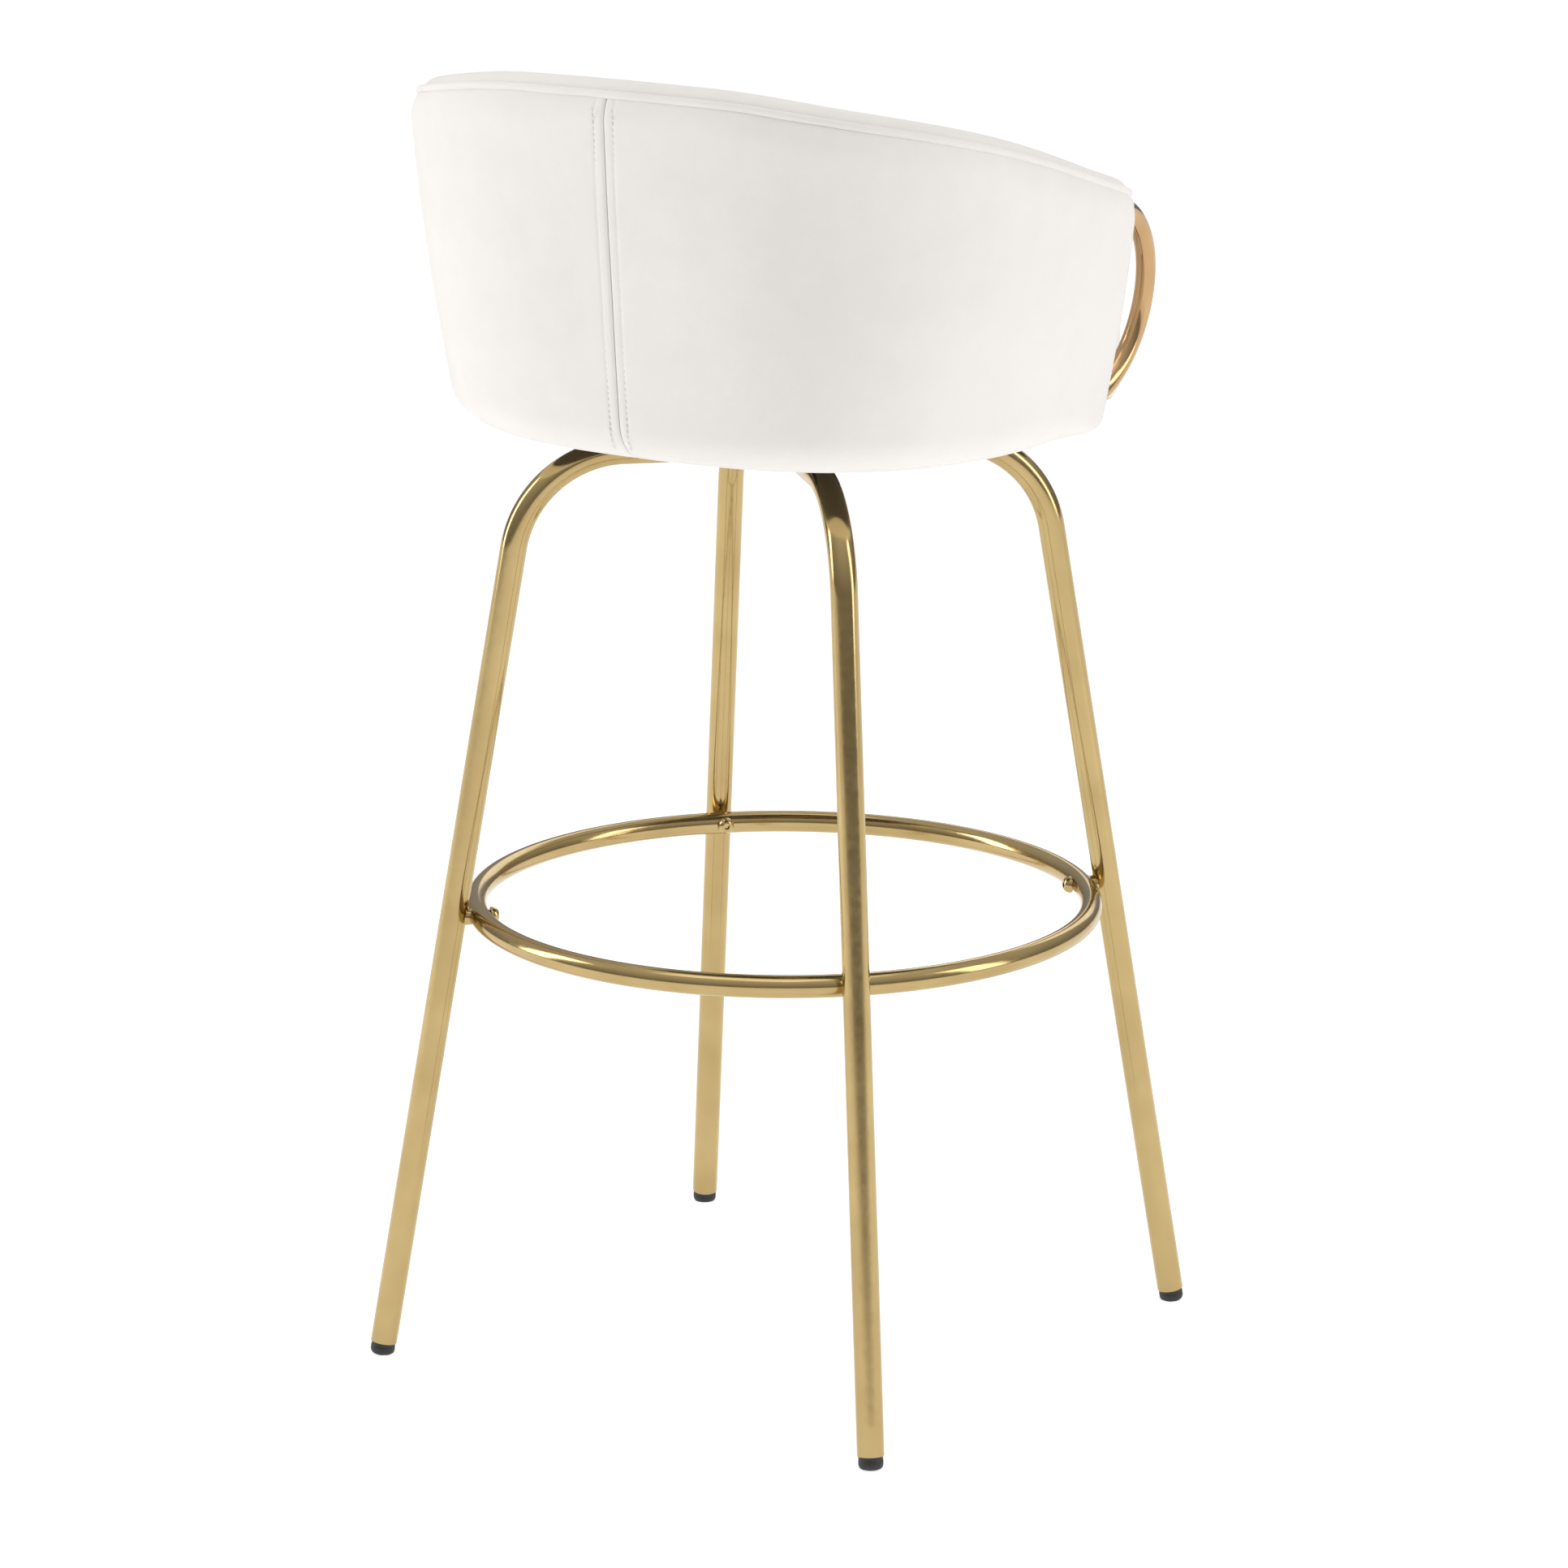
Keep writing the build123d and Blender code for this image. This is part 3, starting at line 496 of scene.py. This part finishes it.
def wall_point(turn, height, inset):
    """Point of the shell; turn is 0 at the middle of the back, 90 at a side."""
    rise = (height - WALL_LEVEL) / MM
    across = (HALF_WIDTH[0] + HALF_WIDTH[1] * rise + HALF_WIDTH[2] * rise**2) * MM - inset
    back = (BACK_REACH[0] + BACK_REACH[1] * rise) * MM - inset
    power = 2 / SHELL_EXPONENT
    angle = np.radians(np.abs(turn))
    along = np.where(np.abs(turn) <= 90, back, -SHELL_FRONT_REACH)
    x = np.sign(turn) * across * np.abs(np.sin(angle)) ** power
    y = SHELL_CENTRE_Y + along * np.abs(np.cos(angle)) ** power
    return np.stack([x, y, height + 0 * x], axis=-1)


def shell_point(turn, height, inset):
    """Point of the shell with its rounded bottom edge."""
    below = np.maximum(SHELL_BOTTOM + SHELL_ROUND - height, 0)
    tuck = SHELL_ROUND - np.sqrt(np.maximum(SHELL_ROUND**2 - below**2, 0))
    return wall_point(turn, height, inset + tuck)


def last_turn(front):
    """The turn at which the plan curve reaches a front plane."""
    forward = (SHELL_CENTRE_Y - front) / SHELL_FRONT_REACH
    return 180 - degrees(acos(forward ** (SHELL_EXPONENT / 2)))


def stations(front, spacing):
    """Turns evenly spaced along the shell, from the middle of the back to an arm's end."""
    dense = np.linspace(0, last_turn(front), 2000)
    length = arc_length(dense)
    count = max(2, int(length[-1] / spacing) + 1)
    return np.interp(np.linspace(0, length[-1], count), length, dense)


def rim_at(turns):
    """Height of the rim line at each turn."""
    points = shell_point(turns, np.full(len(turns), 880 * MM), 0.0)
    angles = np.degrees(np.arctan2(np.abs(points[:, 0]), points[:, 1] - SHELL_CENTRE_Y))
    mirrored = np.r_[-RIM_ANGLES[:0:-1], RIM_ANGLES].astype(float)
    return natural_spline(mirrored, np.r_[RIM_HEIGHTS[:0:-1], RIM_HEIGHTS], angles)


def arc_length(turns):
    """Length along the shell up to each turn."""
    points = shell_point(turns, np.full(len(turns), MEASURE_HEIGHT), 0.0)
    return np.r_[0, np.cumsum(np.linalg.norm(np.diff(points, axis=0), axis=1))]


def soft_noise(points, scale, seed):
    """Smooth, repeatable noise from a few sine waves, about -1 to 1."""
    draw = np.random.default_rng(seed)
    total = np.zeros(len(points))
    for _ in range(7):
        wave = draw.normal(size=3) / scale
        total += np.sin(points @ wave + draw.uniform(0, 2 * pi))
    return total / 3.5


# ================================================================ upholstery
SEAM_STITCH_OFFSET = 7.5 * MM
STITCH_PITCH = 4.2 * MM
STITCH_HALF_LENGTH = 1.55 * MM
THREAD_RADIUS = 0.42 * MM
COVER_TOP_DROP = 4.6 * MM
COVER_THICKNESS = 2.6 * MM
COVER_BOTTOM = 678.8                      # at the arm's end, mm
COVER_DIP = 3.4                           # how much lower it is round the back, mm
SHOULDER_ROLL = 6.4 * MM                  # the cover leans in under the piping
SHOULDER_HEIGHT = 20 * MM
FULLNESS = 0.9 * MM                       # the cover's outward bulge
SEAM_DEPTH = 1.5 * MM
STITCH_DENT = 0.45 * MM
# Clear of the seat's underside: inward and up, mm
LIP = [(3, 0.0), (7, 0.3), (10, 0.9), (12.4, 1.8), (13, 2.8)]
# Distances from the seam where the cover needs extra columns, mm
NEAR_SEAM = np.array([0, 0.5, 1.0, 1.6, 2.4, 3.6, 5, 6.2, 7.0, 7.5, 8.0, 8.8, 10, 12])


def away_from_centre(points):
    """Level unit vectors from the shell's centre line to the points."""
    outward = points - np.array([0, SHELL_CENTRE_Y, 0])
    outward[:, 2] = 0
    return outward / (np.linalg.norm(outward, axis=1)[:, None] + 1e-9)


def ease(low, high, value):
    """0 below low, 1 above high, smooth between."""
    t = np.clip((value - low) / (high - low), 0, 1)
    return t * t * (3 - 2 * t)


def add_outer_cover(name, side):
    """Soft half of the outer back: from the seam to the arm's end, turned in under the seat."""
    turns = stations(ARM_END_Y + ARM_CAP, 2.6 * MM)
    length = arc_length(turns)
    turns = np.unique(np.r_[np.interp(NEAR_SEAM * MM, length, turns), turns[length > 14 * MM]])
    along = arc_length(turns)
    to_end = along[-1] - along
    radius = (8 + 19 * ease(12 * MM, 66 * MM, to_end)) * MM
    bottom = (COVER_BOTTOM - COVER_DIP * ease(26 * MM, 80 * MM, to_end)) * MM

    groove = SEAM_DEPTH * np.exp(-((along / (1.1 * MM)) ** 2))
    stitch = STITCH_DENT * np.exp(-(((along - SEAM_STITCH_OFFSET) / (1.0 * MM)) ** 2))
    top = rim_at(turns) - COVER_TOP_DROP
    rows = []
    for down in np.linspace(0, 1, 90):
        height = top + (bottom + radius - top) * down
        roll_in = SHOULDER_ROLL * np.clip(1 - (top - height) / SHOULDER_HEIGHT, 0, 1) ** 2.2
        bulge = FULLNESS * sin(pi * down)
        pucker = 1 + 0.35 * np.sin(2 * pi * height / STITCH_PITCH)
        rows.append(wall_point(side * turns, height, roll_in - bulge + groove + stitch * pucker))
    for angle in np.linspace(0, pi / 2, 14)[1:]:
        height = bottom + radius * (1 - sin(angle))
        rows.append(wall_point(side * turns, height, radius * (1 - cos(angle)) + groove + stitch))
    for inward, up in LIP:
        inset = radius + groove + stitch + inward * MM
        under = wall_point(side * turns, bottom, inset)
        under[:, 2] += up * MM
        rows.append(under)

    grid = np.array(rows)
    middle = np.abs(grid[..., 0]) < 0.05 * MM
    grid[..., 0][middle] = side * 0.05 * MM
    points = grid.reshape(-1, 3)
    fade = np.clip((grid[..., 1] - ARM_END_Y) / (30 * MM), 0, 1).reshape(-1)
    wave = soft_noise(points, 26 * MM, 11) * 0.28 * MM * fade
    points = points + away_from_centre(points) * wave[:, None]
    faces = loops_to_faces(grid.shape[0], grid.shape[1], closed_loop=False)
    made = piece(f"outer_panel_{name}", points, faces, VELVET, "seat", "velvet")
    thicken(made, COVER_THICKNESS)
    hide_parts(f"outer_cover_{name}")


def thicken(made, thickness):
    """Gives a sheet real thickness, towards the inside of the shell."""
    tidy = bmesh.new()
    tidy.from_mesh(made.data)
    outwards = 0.0
    for face in tidy.faces:
        middle = face.calc_center_median()
        outwards += face.normal.dot(middle - Vector((0, SHELL_CENTRE_Y, middle.z)))
    if outwards < 0:
        bmesh.ops.reverse_faces(tidy, faces=tidy.faces)
    tidy.to_mesh(made.data)
    tidy.free()
    solid = made.modifiers.new("thickness", "SOLIDIFY")
    solid.thickness = thickness
    solid.offset = -1
    apply_modifiers(made)


def rounded_ends(loops, length, radius, sizes):
    """Shrinks the loops near both ends so that a pad ends in a rounded edge."""
    shaped = []
    for loop, s in zip(loops, length):
        near = min(s, length[-1] - s)
        cut = 0.0
        if near < radius:
            cut = radius * (1 - sqrt(max(0.0, 1 - (1 - near / radius) ** 2)))
        scale = np.maximum(0.03, 1 - cut / np.array(sizes))
        centre = loop.mean(axis=0)
        shaped.append((loop - centre) * scale + centre)
    return shaped


def sweep(turns, loops):
    """Loops of (inset, height) placed on the shell, one at each turn."""
    return np.array([
        shell_point(np.full(len(loop), turn), loop[:, 1], loop[:, 0])
        for turn, loop in zip(turns, loops)
    ])


def two_sided(front, spacing):
    """Turns from one arm's end round the back to the other, with extra ones near the ends."""
    half = stations(front, spacing)
    length = arc_length(half)
    ends = length[-1] - np.array([0, 0.15, 0.5, 1.0, 1.7, 2.6, 3.7, 5.0, 6.5]) * MM
    half = np.unique(np.r_[half[length < length[-1] - 8 * MM], np.interp(ends, length, half)])
    return np.r_[-half[:0:-1], half]


def add_band(name, section, front, end_radius, sizes, wave, seed, replaced):
    """Velvet pad swept round the shell; section gives its outline at a height of the rim."""
    turns = two_sided(front, 4 * MM)
    loops = [section(rim) for rim in rim_at(turns)]
    loops = rounded_ends(loops, arc_length(turns), end_radius, sizes)
    verts, faces = capped(sweep(turns, loops))
    lift = soft_noise(verts, 30 * MM, seed) * wave
    verts = verts - away_from_centre(verts) * lift[:, None]
    made = piece(name, verts, faces, VELVET, "seat", "velvet")
    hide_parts(replaced)


def smooth_loop(points):
    """Closed Catmull-Rom curve through a few section points, given in millimetres."""
    points = np.asarray(points, float) * MM
    count = len(points)
    out = []
    for i in range(count):
        p0, p1, p2, p3 = (points[(i + k) % count] for k in (-1, 0, 1, 2))
        for t in np.arange(6) / 6:
            out.append(0.5 * ((2 * p1) + (p2 - p0) * t + (2 * p0 - 5 * p1 + 4 * p2 - p3) * t**2
                              + (3 * p1 - p0 - 3 * p2 + p3) * t**3))
    return np.array(out)


# The rolled rim's outline: inset and height above the rim line, mm
RIM_SECTION = smooth_loop([
    (10.0, -5.8), (9.2, -3.6), (9.6, -0.8), (12.2, 2.2), (16.0, 4.4), (21.5, 5.2), (28.5, 3.6),
    (35.6, 0.2), (40.6, -3.4), (41.5, -5.9), (34.0, -6.2), (12.0, -6.2),
])
PAD_BACK = 15 * MM                        # insets and heights of the inner pad
PAD_FACE = 41.8 * MM
PAD_CROWN = 5.5 * MM
PAD_EDGE = 5.0 * MM
PAD_TOP_DROP = 6.4 * MM
PAD_BOTTOM = 693 * MM
PLY_OUTSIDE = 5.4 * MM                    # insets and heights of the bent-ply shell
PLY_INSIDE = 14.4 * MM
PLY_EASE = 5 * MM
PLY_EASE_HEIGHT = 22 * MM
PLY_TOP_DROP = 9 * MM
PLY_BOTTOM = 684 * MM
WELT_SIZE = np.array([2.2, 2.9]) * MM     # half width and half height
WELT_INSET = 7.0 * MM
WELT_DROP = 3.4 * MM


def rim_section(rim):
    return RIM_SECTION + np.array([0, rim])


def pad_section(rim):
    """Inner back: flat where it meets the frame, crowned on the sitter's side."""
    top = rim - PAD_TOP_DROP
    rows = np.linspace(0, 1, 60)
    height = top + (PAD_BOTTOM - top) * rows
    above_seat = np.clip((height - CUSHION_TOP) / (top - CUSHION_TOP), 0, 1)
    crown = PAD_CROWN * np.sin(pi * above_seat) ** 0.8
    edge = np.minimum(rows, 1 - rows) * (top - PAD_BOTTOM)
    pull = PAD_EDGE * np.exp(-((edge / PAD_EDGE) ** 2))
    face = np.c_[PAD_FACE + crown - pull, height]
    back = np.c_[np.full(12, PAD_BACK), np.linspace(PAD_BOTTOM, top, 12)]
    return np.r_[face, back]


def ply_section(rim):
    """Bent-ply shell: its top edge is eased, so the covers roll over it."""
    top = rim - PLY_TOP_DROP
    height = np.linspace(PLY_BOTTOM, top, 24)
    outside = PLY_OUTSIDE + PLY_EASE * ease(0, 1, 1 - (top - height) / PLY_EASE_HEIGHT)
    return np.r_[np.c_[outside, height], [[PLY_INSIDE, top], [PLY_INSIDE, PLY_BOTTOM]]]


def add_shell_ply():
    turns = two_sided(ARM_END_Y + ARM_CAP + 0.5 * MM, 5 * MM)
    loops = sweep(turns, [ply_section(rim) for rim in rim_at(turns)])
    made = piece("shell_ply", *capped(loops), PLYWOOD, "seat", "plywood", smooth=False)
    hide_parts("shell_frame")


def add_piping():
    """Welt cord along the rim, with rounded ends."""
    turns = two_sided(ARM_END_Y + 0.9 * MM, 2.2 * MM)
    ring = circle(1.0, 20) * WELT_SIZE
    length = arc_length(turns)
    loops = []
    for rim, s in zip(rim_at(turns), length):
        near = min(s, length[-1] - s)
        size = sqrt(max(0.002, 1 - (1 - min(near / (2.5 * MM), 1)) ** 2))
        wobble = 0.15 * MM * sin(s / (9 * MM))
        loops.append(ring * size + np.array([WELT_INSET + wobble, rim - WELT_DROP]))
    made = piece("rim_welt", *capped(sweep(turns, loops)), VELVET, "seat", "velvet")
    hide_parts("rim_piping")


ARM_PAD_BOTTOM = 679.5 * MM
ARM_PAD_DROP = 4.5 * MM                   # its top, below the rim line
ARM_PAD_CORNER = 7 * MM


def rounded_rectangle(left, right, low, high, corner):
    """Outline with round corners and points every few millimetres up its sides."""
    outline = []
    for cx, cz, start in ((right - corner, high - corner, 0), (left + corner, high - corner, 90),
                          (left + corner, low + corner, 180), (right - corner, low + corner, 270)):
        for step in range(8):
            angle = radians(start + 90 * step / 7)
            outline.append((cx + corner * cos(angle), cz + corner * sin(angle)))
    dense = []
    for (x0, z0), (x1, z1) in zip(outline, outline[1:] + outline[:1]):
        parts = max(1, int(abs(z1 - z0) / (5 * MM)))
        dense += [(x0 + (x1 - x0) * k / parts, z0 + (z1 - z0) * k / parts) for k in range(parts)]
    return np.array(dense)


def add_arm_front(name, side):
    """Pad that closes an arm's end: the shell's outline with round corners and edges."""
    turn = last_turn(ARM_END_Y)
    rim = float(rim_at(np.array([turn]))[0])
    low, high = ARM_PAD_BOTTOM, rim - ARM_PAD_DROP
    left, right = 0.6 * MM, SHELL_THICKNESS - 0.4 * MM
    outline = rounded_rectangle(left, right, low, high, ARM_PAD_CORNER)
    centre = np.array([(left + right) / 2, (low + high) / 2])
    half = np.array([(right - left) / 2, (high - low) / 2])
    # each layer: distance behind the arm's end, and how far it is drawn in
    layers = [(ARM_CAP - 0.2 * MM, 0.0)]
    layers += [
        (4.2 * MM * (1 - sin(a)), 4.5 * MM * (1 - cos(a))) for a in np.linspace(0, pi / 2, 7)
    ]
    layers += [(-0.4 * MM, 9 * MM), (-0.7 * MM, 14 * MM), (-0.8 * MM, 19 * MM)]
    loops = []
    for back, shrink in layers:
        scale = np.maximum(1 - shrink / half, 0.02)
        loop = (outline - centre) * scale + centre
        flat = shell_point(np.full(len(loop), side * turn), loop[:, 1], loop[:, 0])
        flat[:, 1] = ARM_END_Y + back
        loops.append(flat)
    made = piece(f"arm_end_{name}", *capped(loops), VELVET, "seat", "velvet")
    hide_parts(f"arm_front_{name}")


def add_stitches():
    """Two rows of top stitching, one each side of the back seam."""
    verts, faces = [], []
    turn_of = np.linspace(0, 20, 400)
    distance = arc_length(turn_of)
    turn = float(np.interp(SEAM_STITCH_OFFSET, distance, turn_of))
    rim = float(rim_at(np.array([turn]))[0])
    first, last = 684 * MM, rim - 9 * MM
    count = int((last - first) / STITCH_PITCH)
    ring = circle(THREAD_RADIUS, 8)
    for side in SIDES.values():
        for i in range(count):
            middle = first + (i + 0.5) * STITCH_PITCH
            loops = []
            for t in np.linspace(-1, 1, 7):
                z = middle + t * STITCH_HALF_LENGTH
                bow = THREAD_RADIUS * (1 - t * t)
                slant = 0.25 * MM * t
                thick = sqrt(max(0.08, 1 - t**4))
                place = (side * turn, z, 0.55 * MM - bow)
                spot = shell_point(*(np.array([v]) for v in place))[0]
                across, out = ring[:, 0] * thick + slant, ring[:, 1] * thick
                loops.append(spot + np.c_[across, out, 0 * across])
            part_verts, part_faces = capped(loops)
            faces += [tuple(j + len(verts) for j in face) for face in part_faces]
            verts += list(part_verts)
    piece("seam_stitches", verts, faces, THREAD, "seat", "velvet")


# ================================================================ cushion
CUSHION_FRONT = -226 * MM
CUSHION_HALF_WIDTH = 179.5 * MM
CUSHION_CORNER = 74 * MM
CUSHION_CENTRE = np.array([0, -40 * MM])
CUSHION_EDGE = 7 * MM
CUSHION_CROWN = 7 * MM
SEAM_HEIGHT = 742 * MM                    # of the seam between the top and the border
# The cover wraps round the board's edge: height and distance in from the border, mm
BOARD_WRAP = [
    (692.5, 13), (687, 13), (682, 12.6), (679.0, 10.5), (678.2, 5.5), (679.6, 1.8), (683, 0.5),
    (688, 0),
]


def cushion_outline(grow=0.0):
    """Plan of the seat cushion: round between the arms, square in front with round corners."""
    front = CUSHION_FRONT - grow
    half, corner = CUSHION_HALF_WIDTH + grow, CUSHION_CORNER
    turns = stations(ARM_END_Y - 0.3 * MM, 6 * MM)
    inset = SHELL_THICKNESS + 1.8 * MM - grow
    inside = shell_point(turns, np.full(len(turns), WALL_LEVEL), inset)[:, :2]
    arms = [(x, y) for x, y in inside]
    right = [(half, ARM_END_Y - 6 * MM)]
    for y in np.linspace(ARM_END_Y - 12 * MM, front + corner, 12):
        right.append((half, y))
    for angle in np.linspace(0, pi / 2, 16)[1:]:
        right.append((half - corner + corner * cos(angle), front + corner - corner * sin(angle)))
    for x in np.linspace(half - corner, 0, 18)[1:-1]:
        right.append((x, front))
    side = arms + right
    return np.array(side + [(0, front)] + [(-x, y) for x, y in reversed(side[1:])])


def add_cushion():
    """Seat cushion: cut a little small, then blown up by its stuffing within limits."""
    outline = cushion_outline(-2.5 * MM)
    high = CUSHION_TOP - 5 * MM
    layers = [(z * MM, shrink * MM) for z, shrink in BOARD_WRAP]
    for a in np.linspace(0, pi / 2, 6):
        layers.append((high - CUSHION_EDGE * (1 - sin(a)), CUSHION_EDGE * (1 - cos(a))))
    loops = []
    for z, shrink in layers:
        scale = 1 - shrink / (180 * MM)
        flat = (outline - CUSHION_CENTRE) * scale + CUSHION_CENTRE
        loops.append(np.c_[flat, np.full(len(flat), z)])
    made = piece("seat_pad", *capped(loops), VELVET, "seat", "velvet")
    remesh = made.modifiers.new("remesh", "REMESH")
    remesh.mode = "VOXEL"
    remesh.voxel_size = 5 * MM
    apply_modifiers(made)
    rest = vertices_of(made)
    inflate(made, pressure=4.0, frames=20)
    moved = vertices_of(made) - rest
    step = np.linalg.norm(moved, axis=1)
    moved *= np.minimum(1, 13 * MM / np.maximum(step, 1e-9))[:, None]
    between_arms = np.clip((rest[:, 1] - (ARM_END_Y - 8 * MM)) / (8 * MM), 0, 1)
    sideways = np.linalg.norm(moved[:, :2], axis=1)
    limit = 5.5 * MM - 1.5 * MM * between_arms
    moved[:, :2] *= np.minimum(1, limit / np.maximum(sideways, 1e-9))[:, None]
    under = rest[:, 2] < 700 * MM
    moved[under, 2] = np.clip(moved[under, 2], -1 * MM, 2 * MM)
    set_vertices(made, rest + moved)
    smooth = made.modifiers.new("subdivide", "SUBSURF")
    smooth.levels = smooth.render_levels = 1
    apply_modifiers(made)
    set_vertices(made, seat_seams(vertices_of(made)))
    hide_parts("seat_cushion")


def seat_seams(points):
    """Presses the seam between top and border into the cushion, and crowns the top."""
    outline = cushion_outline()
    distance = np.full(len(points), 1.0)
    for (x0, y0), (x1, y1) in zip(outline, np.roll(outline, -1, axis=0)):
        edge = np.array([x1 - x0, y1 - y0])
        x, y = points[:, 0] - x0, points[:, 1] - y0
        t = np.clip((x * edge[0] + y * edge[1]) / (edge @ edge), 0, 1)
        distance = np.minimum(distance, np.hypot(x - t * edge[0], y - t * edge[1]))
    side = np.clip(1 - distance / (12 * MM), 0, 1)
    press = 2.0 * MM * np.exp(-(((points[:, 2] - SEAM_HEIGHT) / (2.2 * MM)) ** 2)) * side
    inward = CUSHION_CENTRE - points[:, :2]
    inward /= np.linalg.norm(inward, axis=1)[:, None] + 1e-9
    points[:, :2] += inward * press[:, None]
    top = np.clip((points[:, 2] - 740 * MM) / (15 * MM), 0, 1)
    reach = np.clip(distance / (120 * MM), 0, 1)
    points[:, 2] += top * CUSHION_CROWN * (1 - (1 - reach) ** 2)
    points[:, 2] += top * soft_noise(points, 45 * MM, 5) * 0.6 * MM
    return points


def vertices_of(made):
    flat = np.zeros(len(made.data.vertices) * 3, np.float32)
    made.data.vertices.foreach_get("co", flat)
    return flat.reshape(-1, 3).astype(float)


def set_vertices(made, points):
    made.data.vertices.foreach_set("co", np.asarray(points, np.float32).ravel())
    made.data.update()


def inflate(made, pressure, frames):
    """Blows the cushion up like stuffing does, as cloth under pressure."""
    cloth = made.modifiers.new("cloth", "CLOTH")
    cloth.settings.quality = 5
    cloth.settings.mass = 0.3
    cloth.settings.tension_stiffness = 20
    cloth.settings.compression_stiffness = 20
    cloth.settings.bending_stiffness = 2
    cloth.settings.use_pressure = True
    cloth.settings.uniform_pressure_force = pressure
    cloth.settings.effector_weights.gravity = 0
    cloth.point_cache.frame_start = 1
    cloth.point_cache.frame_end = frames
    scene = bpy.context.scene
    for number in range(1, frames + 1):
        scene.frame_set(number)
    apply_modifiers(made)
    scene.frame_set(1)


# ================================================================ studio
FLOOR_HALF = 60.0
SKY_STRENGTH = 0.81
SKY_GREYS = ((0.0, 0.26), (1.0, 0.96))    # level and straight up
LAMPS = [                                 # name, place, width and height, power
    ("key", (-3.6, -1.2, 2.0), (1.2, 3.0), 36),
    ("fill", (3.4, 1.7, 2.0), (1.0, 3.0), 50),
    ("front", (1.2, -4.0, 2.4), (2.4, 2.0), 16),
    ("top", (0, 0.4, 4.0), (2.6, 2.6), 20),
]
LAMP_TARGET = (0, 0, 0.6)
CAMERA_PLACE = (-2.2150, 3.4009, 1.4543)
CAMERA_LENS = 134.66


def add_studio():
    """Plain pale floor, soft sky and four soft lamps."""
    floor_mesh = bpy.data.meshes.new("studio_floor")
    corners = [(-1, -1), (1, -1), (1, 1), (-1, 1)]
    corners = [(x * FLOOR_HALF, y * FLOOR_HALF, 0) for x, y in corners]
    floor_mesh.from_pydata(corners, [], [(0, 1, 2, 3)])
    floor = bpy.data.objects.new("studio_floor", floor_mesh)
    bpy.context.scene.collection.objects.link(floor)
    paper = Shader("studio_paper")
    paper.set(Base_Color=(0.55, 0.55, 0.55, 1), Roughness=0.9, Specular_IOR_Level=0.0)
    paper.set(Emission_Color=(1, 1, 1, 1), Emission_Strength=0.72)
    floor_mesh.materials.append(paper.material)

    world = bpy.data.worlds.new("studio")
    world.use_nodes = True
    bpy.context.scene.world = world
    tree = world.node_tree
    sky = tree.nodes["Background"]
    place = tree.nodes.new("ShaderNodeTexCoord")
    split = tree.nodes.new("ShaderNodeSeparateXYZ")
    ramp = tree.nodes.new("ShaderNodeValToRGB")
    for element, (position, grey) in zip(ramp.color_ramp.elements, SKY_GREYS):
        element.position = position
        element.color = (grey, grey, grey, 1)
    tree.links.new(place.outputs["Generated"], split.inputs["Vector"])
    tree.links.new(split.outputs["Z"], ramp.inputs["Fac"])
    tree.links.new(ramp.outputs["Color"], sky.inputs["Color"])
    sky.inputs["Strength"].default_value = SKY_STRENGTH

    for name, place, shape, power in LAMPS:
        lamp = bpy.data.lights.new(name, "AREA")
        lamp.shape = "RECTANGLE"
        lamp.size, lamp.size_y = shape
        lamp.energy = power
        made = bpy.data.objects.new(name, lamp)
        made.location = place
        aim = Vector(LAMP_TARGET) - Vector(place)
        made.rotation_euler = aim.to_track_quat("-Z", "Y").to_euler()
        bpy.context.scene.collection.objects.link(made)


def add_camera():
    camera = bpy.data.cameras.new("camera")
    camera.sensor_width = 36
    camera.lens = CAMERA_LENS
    camera.clip_end = 100
    made = bpy.data.objects.new("camera", camera)
    made.location = CAMERA_PLACE
    heading, tilt, roll = radians(213.078), radians(90 - 14.445), radians(0.194)
    turned = Matrix.Rotation(heading, 3, "Z") @ Matrix.Rotation(tilt, 3, "X")
    made.rotation_euler = (turned @ Matrix.Rotation(roll, 3, "Z")).to_euler()
    bpy.context.scene.collection.objects.link(made)
    bpy.context.scene.camera = made
    bpy.context.scene.view_settings.view_transform = "Standard"


add_camera()
add_legs()
add_glides()
add_footrest()
add_hoops()
for side_name, sign in SIDES.items():
    add_outer_cover(side_name, sign)
    add_arm_front(side_name, sign)
add_band("rim_pad", rim_section, ARM_END_Y, 6 * MM, (19.5 * MM, 7.3 * MM),
         wave=0.3 * MM, seed=3, replaced="rim_roll")
add_band("inner_back", pad_section, ARM_END_Y + ARM_CAP, 3 * MM, (13 * MM, 70 * MM),
         wave=0.6 * MM, seed=4, replaced="back_pad")
add_shell_ply()
add_piping()
add_stitches()
add_cushion()
add_studio()
